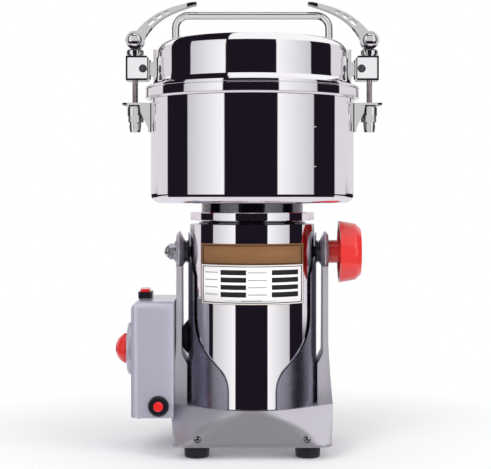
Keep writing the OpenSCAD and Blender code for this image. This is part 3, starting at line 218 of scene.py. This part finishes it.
# Dark chrome finish, made darker still to paint the shade and dark reflection under the chamber on the neck collar
material("dark_chrome", (0.14, 0.135, 0.155), 0.12, 1.0, shade=0.08, spread=0.05, spot=150,
         lines=(ROUND_Z, 2500, 0.08, 0.00003))
material("plain_steel", (0.68, 0.68, 0.70), 0.28, 1.0, spread=0.07, spot=400)
material("blade_steel", (0.76, 0.76, 0.77), 0.22, 1.0, spread=0.06,
         lines=(ACROSS_X, 2500, 0.1, 0.00003))
material("dark_steel", (0.09, 0.09, 0.10), 0.35, 0.8, shade=0.15, spread=0.08, spot=500)
material("laminations", (0.20, 0.20, 0.21), 0.45, 0.9, lines=(ROUND_Z, 2200, 0.5, 0.0001))
material("cast_aluminium", (0.66, 0.66, 0.67), 0.45, 0.95, grain=(700, 0.25, 0.0002))
material("copper_wire", (0.72, 0.38, 0.20), 0.3, 0.9, lines=(ROUND_Z, 1500, 0.6, 0.0002))
material("bush_bronze", (0.70, 0.50, 0.25), 0.35, 1.0, grain=(2500, 0.1, 0.0001))
material("carbon", (0.05, 0.05, 0.05), 0.6, grain=(2500, 0.2, 0.0001))
material("foot_rubber", (0.014, 0.014, 0.022), 0.5, grain=(1500, 0.15, 0.0002), shade=0.2)
material("seal_silicone", (0.86, 0.86, 0.84), 0.4, Subsurface_Weight=0.15, Subsurface_Scale=0.004)
material("black_plastic", (0.010, 0.010, 0.016), 0.30, shade=0.15, grain=(1800, 0.06, 0.0001))
material("red_plastic", (0.66, 0.026, 0.024), 0.25, shade=0.02, grain=(400, 0.01, 0.0001),
         Coat_Weight=0.5, Coat_Roughness=0.06)
material("red_switch", (0.78, 0.02, 0.02), 0.15, Coat_Weight=0.6, Coat_Roughness=0.05,
         Transmission_Weight=0.12)
material("thread_steel", (0.42, 0.37, 0.35), 0.3, 1.0, shade=0.1, spread=0.05, spot=300)
material("label_ink", (0.016, 0.014, 0.015), 0.5, shade=0.2, grain=(2500, 0.1, 0.0001),
         Specular_IOR_Level=0.2)
material("label_grey", (0.30, 0.29, 0.30), 0.35, shade=0.1, grain=(2500, 0.1, 0.0001))
material("label_white", (0.90, 0.88, 0.87), 0.45, shade=0.02, grain=(2500, 0.05, 0.0001))
material("label_brown", (0.22, 0.105, 0.041), 0.45, shade=0.05, grain=(2500, 0.05, 0.0001),
         Specular_IOR_Level=0.25)
material("etched_mark", (0.62, 0.60, 0.62), 0.5, 0.4, shade=0.1, grain=(3000, 0.2, 0.0001))
material("print_black", (0.02, 0.02, 0.025), 0.4, shade=0.2, grain=(2500, 0.1, 0.0001))


# ---- Finishes of the CAD nodes ----

# Nodes that get another finish than the record's slot
OTHER_FINISH = {"motor_guard": "satin_steel", "pivot_cap_nut": "plain_steel"}

# Soft edges of cast, moulded and pressed parts, in mm
SOFT_EDGES = {
    "cradle_casting": 0.8, "control_box_shell": 0.8, "control_box_floor": 0.4, "lock_knob": 0.7,
    "timer_knob": 0.5, "switch_bezel": 0.5, "power_rocker": 0.4, "breaker_body": 0.3,
    "reset_button": 0.4, "rubber_feet": 0.8,
    "motor_guard": 0.25, "neck_collar": 0.5, "timer_dial": 0.5, "mains_gland": 0.4,
    "pivot_cap_nut": 0.3, "handle_nuts": 0.3,
}
SAME_POINT = 0.01 * MM
SOFTENED_ANGLE = math.radians(38)  # edges sharper than this are rounded
FLAT_WEIGHT = 90


def soften(node, width):
    """Rounds a CAD node's sharp edges, and leaves its smooth faces smooth."""
    made = NODES[node]
    weld = made.modifiers.new("weld", "WELD")
    weld.merge_threshold = SAME_POINT
    bevel = made.modifiers.new("soft_edges", "BEVEL")
    bevel.width = width * MM
    bevel.segments = 2
    bevel.limit_method = "ANGLE"
    bevel.angle_limit = SOFTENED_ANGLE
    flat = made.modifiers.new("flat_faces", "WEIGHTED_NORMAL")
    flat.weight = FLAT_WEIGHT


for row in RECORD["subparts"]:
    slots = NODES[row["node"]].data.materials
    slots.clear()
    slots.append(MATERIALS[OTHER_FINISH.get(row["node"], row["material_slot"])])
for node, width in SOFT_EDGES.items():
    soften(node, width)


# ---- Shapes in mm round the motor's axis ----

SHEET = 0.05 * MM  # thickness of what is printed or stuck on
SHARP_ANGLE = math.radians(35)


def low_mm(node):
    """Lowest X, Y and Z of a node in mm, X from the motor's axis."""
    x, y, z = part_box(node)[0]
    return (x - AXIS_X) / MM, y / MM, z / MM


def high_mm(node):
    """Highest X, Y and Z of a node in mm, X from the motor's axis."""
    x, y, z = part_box(node)[1]
    return (x - AXIS_X) / MM, y / MM, z / MM


def in_frame(x, y, z):
    """A point in metres from mm round the motor's axis."""
    return (AXIS_X + x * MM, y * MM, z * MM)


def on_axis(r, angle, z):
    """A point at a radius in mm and an angle from the front."""
    return in_frame(r * math.sin(angle), -r * math.cos(angle), z)


def new_piece(name, mesh, body, *surfaces):
    """An object on a body, with smooth faces and sharp edges."""
    for surface in surfaces:
        mesh.materials.append(MATERIALS[surface])
    for polygon in mesh.polygons:
        polygon.use_smooth = True
    mesh.set_sharp_from_angle(angle=SHARP_ANGLE)
    made = bpy.data.objects.new(name, mesh)
    bpy.context.scene.collection.objects.link(made)
    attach(made, body)
    return made


def closed_piece(name, shape, body, surface):
    """A piece from a bmesh, with its faces turned outwards."""
    bmesh.ops.recalc_face_normals(shape, faces=shape.faces)
    mesh = bpy.data.meshes.new(name)
    shape.to_mesh(mesh)
    shape.free()
    return new_piece(name, mesh, body, surface)


def thickened(piece):
    """Gives a printed or stuck-on sheet a thickness, inwards."""
    solid = piece.modifiers.new("thickness", "SOLIDIFY")
    solid.thickness = SHEET
    solid.offset = -1
    return piece


def skin(shape, rings, closed=False):
    """Faces between neighbouring rings of points, and from the last to the first if closed."""
    pairs = list(zip(rings, rings[1:]))
    if closed:
        pairs.append((rings[-1], rings[0]))
    for lower, upper in pairs:
        for i in range(len(lower)):
            j = (i + 1) % len(lower)
            shape.faces.new((lower[i], lower[j], upper[j], upper[i]))


def arc(centre_r, centre_z, radius, first, last, steps=12):
    """Points (r, z) round a centre, from one angle to another in degrees."""
    angles = [math.radians(first + (last - first) * i / steps) for i in range(steps + 1)]
    return [(centre_r + radius * math.cos(a), centre_z + radius * math.sin(a)) for a in angles]


def turned(name, profile, body, surface, steps=256):
    """A ring turned round the motor's axis from a closed profile of (r, z) in mm."""
    shape = bmesh.new()
    rings = [[shape.verts.new(on_axis(r, 2 * math.pi * i / steps, z)) for r, z in profile]
             for i in range(steps)]
    skin(shape, rings, closed=True)
    return closed_piece(name, shape, body, surface)


PATCH_STEP = math.radians(1.5)


def on_round(name, patches, radius, body, surfaces):
    """Thin patches (low X, high X, low Z, high Z, surface, lift) in mm on a cylinder's front."""
    mesh = bpy.data.meshes.new(name)
    points, faces, owners = [], [], []
    for x0, x1, z0, z1, surface, lift in patches:
        a0, a1 = math.asin(x0 / radius), math.asin(x1 / radius)
        steps = max(1, round(abs(a1 - a0) / PATCH_STEP))
        for i in range(steps + 1):
            a = a0 + (a1 - a0) * i / steps
            points += [on_axis(radius + lift, a, z) for z in (z0, z1)]
            if i < steps:
                k = len(points) - 2
                faces.append((k, k + 2, k + 3, k + 1))
                owners.append(surfaces.index(surface))
    mesh.from_pydata(points, [], faces)
    for polygon, owner in zip(mesh.polygons, owners):
        polygon.material_index = owner
    return thickened(new_piece(name, mesh, body, *surfaces))


DOME_RINGS, DOME_SIDES = 8, 40
CROSS_ARM, CROSS_REACH = 0.17, 0.6  # half width and reach of a cross recess, as shares of a head
DOME_SAME_POINT = 0.005 * MM


def domed(name, places, radius, height, body, surface, cross=0.0):
    """Domed heads at places (x, y, z, facing), some with a cross recess of the given depth."""
    shape = bmesh.new()
    for x, y, z, facing in places:
        rings = []
        for k in range(DOME_RINGS + 1):
            rise = math.radians(90 * k / DOME_RINGS)
            r, out = radius * math.cos(rise), height * math.sin(rise)
            ring = []
            for i in range(DOME_SIDES):
                a = 2 * math.pi * i / DOME_SIDES
                dx, dz = r * math.cos(a), r * math.sin(a)
                narrow, wide = sorted((abs(dx), abs(dz)))
                recessed = narrow < CROSS_ARM * radius and wide < CROSS_REACH * radius
                lift = out - (cross if recessed else 0.0)
                ring.append(shape.verts.new(in_frame(x + dx, y + facing * lift, z + dz)))
            rings.append(ring)
        skin(shape, rings)
        shape.faces.new(list(reversed(rings[0])))
    bmesh.ops.remove_doubles(shape, verts=shape.verts, dist=DOME_SAME_POINT)
    return closed_piece(name, shape, body, surface)


# ---- Pieces ----

ROD_X, PIN_X = 110, 102  # latch rods and cams, and latch blocks' pins, in mm from the axis
RIM_OUT, RIM_HEIGHT = 5, 8.2  # the rolled rim's width and height
RIM_DROP = 15  # its underside below the CAD bowl's top
WALL, BOWL_FLOOR = 1.5, 2.5
bowl_z0 = low_mm("grinding_bowl")[2]
rim_r, _, bowl_top = high_mm("grinding_bowl")
bowl_r = rim_r - RIM_OUT
rim_z0 = bowl_top - RIM_DROP
rim_top = rim_z0 + RIM_HEIGHT


def joint_travel(name):
    """A hinge's travel in radians."""
    for joint in frame["joints"]:
        if joint["name"] == name:
            return math.radians(joint["range_deg"][1] - joint["range_deg"][0])


def chamber():
    """Polished chamber: the CAD bowl's sizes, with its rolled rim."""
    seal_r = high_mm("shaft_seal")[0]
    inner_r, floor_top = bowl_r - WALL, bowl_z0 + BOWL_FLOOR
    foot_r, under_r, lip_r = 9, 1.6, 0.7  # roundings of foot, rim's underside and rim's edges
    profile = [(seal_r, bowl_z0), *arc(bowl_r - foot_r, bowl_z0 + foot_r, foot_r, -90, 0)]
    profile += arc(bowl_r + under_r, rim_z0 - under_r, under_r, 180, 90, 5)
    profile += arc(rim_r - lip_r, rim_z0 + lip_r, lip_r, -90, 0, 4)
    profile += arc(rim_r - lip_r, rim_top - lip_r, lip_r, 0, 90, 4)
    profile += [(rim_r - WALL, rim_top), (rim_r - WALL, rim_z0 + WALL), (inner_r, rim_z0 + WALL)]
    profile += arc(inner_r - foot_r, floor_top + foot_r, foot_r, 0, -90)
    made = turned("polished_chamber", [*profile, (seal_r, floor_top)], "head", "polished_steel")
    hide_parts("grinding_bowl")


def lid_skirt():
    """Hollow curve between the lid's side and the edge that covers the rim."""
    lid_r, curve_r, edge_height, chamfer = 90.5, 11.7, 1.6, 0.5
    over_rim, outside_lid, inside_lid = 0.3, 0.1, 1
    edge_angle, lid_angle = 258.6, 180
    inner_r, low_z = lid_r - inside_lid, rim_top + over_rim
    centre_r, centre_z = lid_r + outside_lid + curve_r, rim_top + edge_height + curve_r
    curve = arc(centre_r, centre_z, curve_r, edge_angle, lid_angle, 20)
    edge_r = curve[0][0]
    edge = [(inner_r, low_z), (edge_r - chamfer, low_z), (edge_r, low_z + chamfer)]
    turned("lid_skirt", [*edge, *curve, (inner_r, centre_z)], "lid", "polished_steel")


def neck_band():
    """Polished flange between motor and chamber."""
    inner_r, outer_r, chamfer = high_mm("neck_collar")[0] - 3, 58.0, 0.5
    z0, z1 = 212.6, 220.0
    profile = [(inner_r, z0), (outer_r - chamfer, z0), (outer_r, z0 + chamfer),
               (outer_r, z1 - chamfer), (outer_r - chamfer, z1), (inner_r, z1)]
    turned("neck_band", profile, "head", "polished_steel")


def motor_label():
    """Rating plate with blank fields."""
    names = ["label_white", "label_brown", "label_ink", "label_grey"]
    plate, ink, top_ink = 0.10, 0.16, 0.18  # how far they stand off the motor
    half, low, split, high, inset = 46.5, 137.4, 173.0, 192.2, 1.4
    rows = [(168.6, 164.1), (161.9, 157.4), (155.2, 150.9), (148.8, 144.2)]
    fields, captions = [(-28.5, -5.5), (17.5, 41.5)], [(-42.5, -31), (-4, 13)]
    half_caption = 0.45
    patches = [(-half, half, low, split, "label_white", plate),
               (-half, half, split, high, "label_brown", plate)]

    def outline(x0, x1, z0, z1, surface, width):
        side = width * 1.3
        edges = [(x0, x1, z1 - width, z1), (x0, x1, z0, z0 + width),
                 (x0, x0 + side, z0, z1), (x1 - side, x1, z0, z1)]
        patches.extend((*edge, surface, ink) for edge in edges)

    outline(-half, half, low, high, "label_brown", 0.35)
    outline(-half + inset, half - inset, low + inset, split - 1.0, "label_ink", 0.7)
    outline(-half + inset, half - inset, split + 0.8, high - inset, "label_ink", 0.7)
    for z1, z0 in rows:
        middle = (z0 + z1) / 2
        line = (middle - half_caption, middle + half_caption)
        patches += [(*span, z0, z1, "label_ink", ink) for span in fields]
        patches += [(*span, *line, "label_grey", ink) for span in captions]
    patches.append((-24, 22, 140.6, 141.0, "label_grey", ink))
    patches.append((-10, 9, 140.2, 141.4, "label_grey", top_ink))
    on_round("motor_label", patches, high_mm("motor_shell")[0], "head", names)


def level_marks():
    """Etched lines for the highest and lowest filling."""
    half_line, lift = 0.45, 0.06
    patches = [(52.3, 56.3, z - half_line, z + half_line, "etched_mark", lift)
               for z in (296.0, 261.0)]
    on_round("level_marks", patches, bowl_r, "head", ["etched_mark"])


def latch_heads():
    """Domes over the cams' pins and screw heads on the latch blocks' pins."""
    pin_over_block, inside_lug, cam_over_lever = 11, 0.1, 8.6
    pin_r, pin_height, cam_r, cam_height = 3.3, 1.6, 6.4, 3.2
    pin_z = low_mm("latch_block_right")[2] + pin_over_block
    pin_y = low_mm("lid_lugs")[1] + inside_lug
    pins = [(side * PIN_X, pin_y, pin_z, FRONT) for side, _ in SIDES]
    domed("latch_pin_heads", pins, pin_r, pin_height, "lid", "dark_chrome", cross=0.9)
    for side, name in SIDES:
        low, high = low_mm("lever_" + name), high_mm("lever_" + name)
        x, cam_z = side * ROD_X, low[2] + cam_over_lever
        cams = [(x, low[1], cam_z, FRONT), (x, high[1], cam_z, BACK)]
        domed("cam_domes_" + name, cams, cam_r, cam_height, "lever_" + name, "chrome_parts")


def rod_threads():
    """Thread of each latch rod below its block, shallower where bracket and keeper hold it."""
    pitch, steps, plain_end = 1.1, 32, 1
    root, crest, held_crest, over_bracket = 2.52, 2.85, 2.68, 0.5
    rod_low = low_mm("latch_rod_right")[2]
    held_top = high_mm("catch_brackets")[2] + over_bracket
    length = low_mm("latch_block_right")[2] - rod_low - 2 * plain_end
    count = int(length / pitch * 2)
    turns = [2 * math.pi * i / steps for i in range(steps)]
    for side, name in SIDES:
        shape = bmesh.new()
        rings = []
        for k in range(count + 1):
            z = rod_low + plain_end + k * pitch / 2
            ridge = crest if z > held_top else held_crest
            r = ridge if k % 2 else root
            rings.append([shape.verts.new(
                in_frame(side * ROD_X + r * math.cos(a), r * math.sin(a), z)) for a in turns])
        skin(shape, rings)
        shape.faces.new(list(reversed(rings[0])))
        shape.faces.new(rings[-1])
        closed_piece("rod_threads_" + name, shape, BODY_OF["latch_rod_" + name], "thread_steel")


def side_screw_heads():
    """Heads that close the counterbores of the base's side screws."""
    screw_r, sunk, head_r, head_height = 2.8, 0.6, 2.7, 1.3
    low, high = low_mm("sole_screws"), high_mm("sole_screws")
    screw_x, screw_y = (high[0] - low[0]) / 2 - screw_r, high[1] - sunk
    screw_z = (low[2] + high[2]) / 2
    places = [(side * screw_x, facing * screw_y, screw_z, facing)
              for side, _ in SIDES for facing in (BACK, FRONT)]
    domed("side_screw_heads", places, head_r, head_height, "stand", "chrome_parts", cross=0.5)


def number_mesh(number, size, place):
    """A plain number in mm, centred on a point of a face that looks towards -X."""
    text = bpy.data.curves.new("number", "FONT")
    text.body = str(number)
    text.size = size * MM
    text.align_x = text.align_y = "CENTER"
    written = bpy.data.objects.new("number", text)
    bpy.context.scene.collection.objects.link(written)
    mesh = bpy.data.meshes.new_from_object(written)
    bpy.data.objects.remove(written)
    bpy.data.curves.remove(text)
    turn = Matrix(((0, 0, -1), (-1, 0, 0), (0, 1, 0))).to_4x4()
    mesh.transform(Matrix.Translation(Vector(place)) @ turn)
    return mesh


def dial_marks():
    """Scale of minutes round the timer's knob: ticks and plain numbers on the dial's face."""
    steps, per_number, steps_a_minute, off_face = 24, 4, 2, 0.06
    tick_end, number_r, number_size = 17.8, 20.4, 4.2
    long_tick, short_tick = (15.6, 0.3), (16.2, 0.18)  # start and half width
    low, high = low_mm("timer_dial"), high_mm("timer_dial")
    face_x = low[0] - off_face
    middle_y, middle_z = (low[1] + high[1]) / 2, (low[2] + high[2]) / 2
    angles = [joint_travel("timer_knob_turn") * i / steps for i in range(steps + 1)]

    def spot(radius, angle, across=0.0):
        """A point of the face: radius and angle from the top, shifted across in mm."""
        y = middle_y - radius * math.sin(angle) - across * math.cos(angle)
        z = middle_z + radius * math.cos(angle) - across * math.sin(angle)
        return in_frame(face_x, y, z)

    mesh = bpy.data.meshes.new("dial_ticks")
    points, faces = [], []
    for i, angle in enumerate(angles):
        start, half = short_tick if i % per_number else long_tick
        k = len(points)
        points += [spot(start, angle, -half), spot(tick_end, angle, -half),
                   spot(tick_end, angle, half), spot(start, angle, half)]
        faces.append((k, k + 3, k + 2, k + 1))
    mesh.from_pydata(points, [], faces)
    thickened(new_piece("dial_ticks", mesh, "stand", "print_black"))
    for i in range(0, steps + 1, per_number):
        minute = i // steps_a_minute
        mesh = number_mesh(minute, number_size, spot(number_r, angles[i]))
        thickened(new_piece("dial_number_%d" % minute, mesh, "stand", "print_black"))


chamber()
lid_skirt()
dial_marks()
latch_heads()
rod_threads()
side_screw_heads()
neck_band()
motor_label()
level_marks()


# ---- Studio ----

DEGREE = 180 / math.pi
INK = (0.011, 0.008, 0.014)
WALL_TONE = (0.76, 0.72, 0.75)
TABLE_TONE = (0.8, 0.77, 0.81)
STRIP_END = (0.60, 0.60, 0.61)
EVEN_LIGHT = (0.62, 0.62, 0.64)

# What polished metal mirrors, in degrees: turns are twice the facing of an upright face, slopes
# are those of a face seen from the front, and heights are those of the mirrored direction
FRONT_CENTRE, OUTER_CENTRE = -1.5, -2.2
FRONT_PANEL, STRIP, PANELS_END = (-10, 29.5), (30, 75), 107.5
OUTER_PANELS = (74.3, PANELS_END)
ROUND = 400  # more than any turn
BACKDROPS = (((-13, -1.5), 132, 3.0), ((-13, -6), 100, 2.0))  # heights, first turn, soft edge
GAP_SLOPES, TABLE_EDGE, CEILING_EDGE = (-21, -6.5), (-22, -20), (27.5, 28.5)
CEILING_DARK = (-109.7, -28)


def studio_world():
    """Even white light; polished metal sees pale walls with dark and white panels."""
    world = bpy.data.worlds.new("studio")
    bpy.context.scene.world = world
    world.use_nodes = True
    g = Graph(world.node_tree)
    direction = g.node("ShaderNodeTexCoord").outputs["Generated"]
    split = g.node("ShaderNodeSeparateXYZ")
    g.put(split.inputs[0], direction)
    x, y, z = split.outputs

    def degrees(operation, value):
        return g.math("MULTIPLY", g.math(operation, value), DEGREE)

    def away(centre):
        return g.math("ABSOLUTE", g.math("SUBTRACT", turn, centre))

    def band(value, low, high, edge=0.8):
        rise = g.step(value, low - edge, low + edge)
        fall = g.step(value, high - edge, high + edge)
        return g.math("SUBTRACT", rise, fall)

    def both(a, b):
        return g.math("MULTIPLY", a, b)

    def inverse(value):
        return g.math("SUBTRACT", 1.0, value)

    turn = g.math("MULTIPLY", g.math("ARCTAN2", x, inverse(y)), 2 * DEGREE)
    height = degrees("ARCSINE", z)
    span = g.vector("LENGTH", g.vector("SUBTRACT", direction, (0, 1, 0)))
    slope = degrees("ARCSINE", g.math("DIVIDE", z, span))

    middle, outer = away(FRONT_CENTRE), away(OUTER_CENTRE)
    past_panels = g.step(outer, PANELS_END - 1, PANELS_END + 1)
    strip = g.mix(g.ramp(middle, *STRIP, 0.0, 1.0), WHITE, STRIP_END)
    pattern = g.mix(past_panels, strip, WALL_TONE)
    dark = g.math("ADD", band(middle, *FRONT_PANEL), band(outer, *OUTER_PANELS), clamp=True)
    pattern = g.mix(dark, pattern, INK)
    # At the motor's height a dark backdrop behind the pale walls, which lower down hides them
    for heights, first, edge in BACKDROPS:
        backdrop = both(band(height, *heights), band(outer, first, ROUND, edge))
        pattern = g.mix(backdrop, pattern, INK)
    # Under the panels a dark gap and the pale table; above them the ceiling, dark at the left
    pattern = g.mix(both(band(slope, *GAP_SLOPES), inverse(past_panels)), pattern, INK)
    pattern = g.mix(inverse(g.step(slope, *TABLE_EDGE)), pattern, TABLE_TONE)
    ceiling = g.mix(band(turn, *CEILING_DARK, 1.0), WHITE, INK)
    pattern = g.mix(g.step(slope, *CEILING_EDGE), pattern, ceiling)

    rays = g.node("ShaderNodeLightPath").outputs
    seen = g.math("MAXIMUM", rays["Is Camera Ray"], rays["Is Transmission Ray"])
    even = g.mix(seen, EVEN_LIGHT, WHITE)
    back = g.node("ShaderNodeBackground", Strength=1.0)
    g.put(back.inputs[0], g.mix(rays["Is Glossy Ray"], even, pattern))
    g.finish("ShaderNodeOutputWorld", back.outputs[0])


def studio_quads(name, corners):
    """Quads from their corners in metres, and the graph of their paint."""
    faces = [tuple(range(i, i + 4)) for i in range(0, len(corners), 4)]
    mesh = bpy.data.meshes.new(name)
    mesh.from_pydata(corners, [], faces)
    made = bpy.data.objects.new(name, mesh)
    bpy.context.scene.collection.objects.link(made)
    paint = bpy.data.materials.new(name)
    paint.use_nodes = True
    mesh.materials.append(paint)
    return made, Graph(paint.node_tree)


def mirror_card(name, tone, corners, reach=0.27):
    """Cards that only metal sees, on the side their corners run anticlockwise to.

    reach is how obliquely a mirrored ray may meet them: 0 straight on, 1 any angle.
    """
    made, g = studio_quads(name, corners)
    glow = g.node("ShaderNodeEmission", Strength=tone).outputs[0]
    clear = g.node("ShaderNodeBsdfTransparent").outputs[0]
    behind = g.node("ShaderNodeNewGeometry").outputs["Backfacing"]
    oblique = g.node("ShaderNodeLayerWeight", Blend=0.5).outputs["Facing"]
    hidden = g.math("MAXIMUM", behind, g.math("GREATER_THAN", oblique, reach))
    g.finish("ShaderNodeOutputMaterial", g.blend(hidden, glow, clear))
    made.visible_camera = False
    made.visible_diffuse = False
    made.visible_shadow = False
    made.visible_transmission = False


def facing_mill(y, spans):
    """Upright quads at y that face the mill: (low X, high X, low Z, high Z) in mm, both sides."""
    corners = []
    for x0, x1, z0, z1 in spans:
        for side, _ in SIDES:
            low, high = sorted((side * x0, side * x1))
            corners += [in_frame(low, y, z0), in_frame(low, y, z1),
                        in_frame(high, y, z1), in_frame(high, y, z0)]
    return corners


def cards():
    """White cards for latches, handle and arms, and a dark one over the base's front."""
    latch_y = low_mm("latch_block_right")[1] - 12
    base_y = low_mm("cradle_casting")[1]
    mirror_card("white_cards", 0.92, facing_mill(latch_y, [
        (99, 117.5, 346, 365.5), (0, 62, 419, 440)
    ]))
    mirror_card("grey_cards", 0.62, facing_mill(latch_y, [
        (92, 118, 290, 341), (86, 98, 342, 374), (62, 120, 378, 440)
    ]))
    mirror_card("handle_card", 0.85, facing_mill(latch_y, [(0, 62, 384, 408)]))
    mirror_card("arm_cards", 1.25, facing_mill(base_y - 4, [(58, 73, 44, 205)]))
    z = low_mm("motor_guard")[2] + 4
    half, near, far = 68, base_y + 4, base_y - 60
    flag = ((-half, near), (half, near), (half, far), (-half, far))
    mirror_card("base_flag", 0.04, [in_frame(x, y, z) for x, y in flag], reach=1.0)


def floor():
    """Pale floor that keeps the mill's soft shadow and turns white further out."""
    half = 6.0
    fade_start, fade_end = 0.13, 0.42
    made, g = studio_quads("floor", [(-half, -half, 0), (half, -half, 0),
                                     (half, half, 0), (-half, half, 0)])
    pale = g.node("ShaderNodeBsdfDiffuse", Color=(0.93, 0.93, 0.93, 1.0)).outputs[0]
    white = g.node("ShaderNodeEmission", Color=(*WHITE, 1.0), Strength=1.0).outputs[0]
    distance = g.vector("LENGTH", g.node("ShaderNodeNewGeometry").outputs["Position"])
    rays = g.node("ShaderNodeLightPath").outputs
    mirrored = g.math("MAXIMUM", rays["Is Glossy Ray"], rays["Is Transmission Ray"])
    seen = g.math("MAXIMUM", rays["Is Camera Ray"], mirrored)
    far = g.math("MULTIPLY", g.step(distance, fade_start, fade_end), seen)
    g.finish("ShaderNodeOutputMaterial", g.blend(far, pale, white))
    made.visible_glossy = False


def lamp(name, place, aim, size, power):
    """A square soft lamp that metal doesn't mirror."""
    data = bpy.data.lights.new(name, "AREA")
    data.shape = "RECTANGLE"
    data.size = data.size_y = size
    data.energy = power
    made = bpy.data.objects.new(name, data)
    made.location = place
    made.rotation_mode = "QUATERNION"
    made.rotation_quaternion = (Vector(aim) - Vector(place)).to_track_quat("-Z", "Y")
    made.visible_glossy = False
    bpy.context.scene.collection.objects.link(made)


def camera():
    """The photograph's view: level, from the front, with the picture shifted."""
    eye_distance, eye_height = 1.2, 0.236
    data = bpy.data.cameras.new("camera")
    data.lens = 93.6
    data.sensor_width = 36.0
    data.shift_x, data.shift_y = -0.0138, -0.0804
    made = bpy.data.objects.new("camera", data)
    made.location = (AXIS_X, -eye_distance, eye_height)
    made.rotation_euler = (math.radians(90), 0, 0)
    bpy.context.scene.collection.objects.link(made)
    bpy.context.scene.camera = made


studio_world()
cards()
floor()
lamp("key", (-0.7, -1.1, 0.8), (0, 0, 0.2), 0.9, 10)
lamp("fill", (1.0, -0.7, 0.5), (0, 0, 0.2), 0.9, 8)
lamp("top", (0.0, 0.1, 1.5), (0, 0, 0.0), 1.2, 3)
camera()
bpy.context.scene.view_settings.view_transform = "Standard"
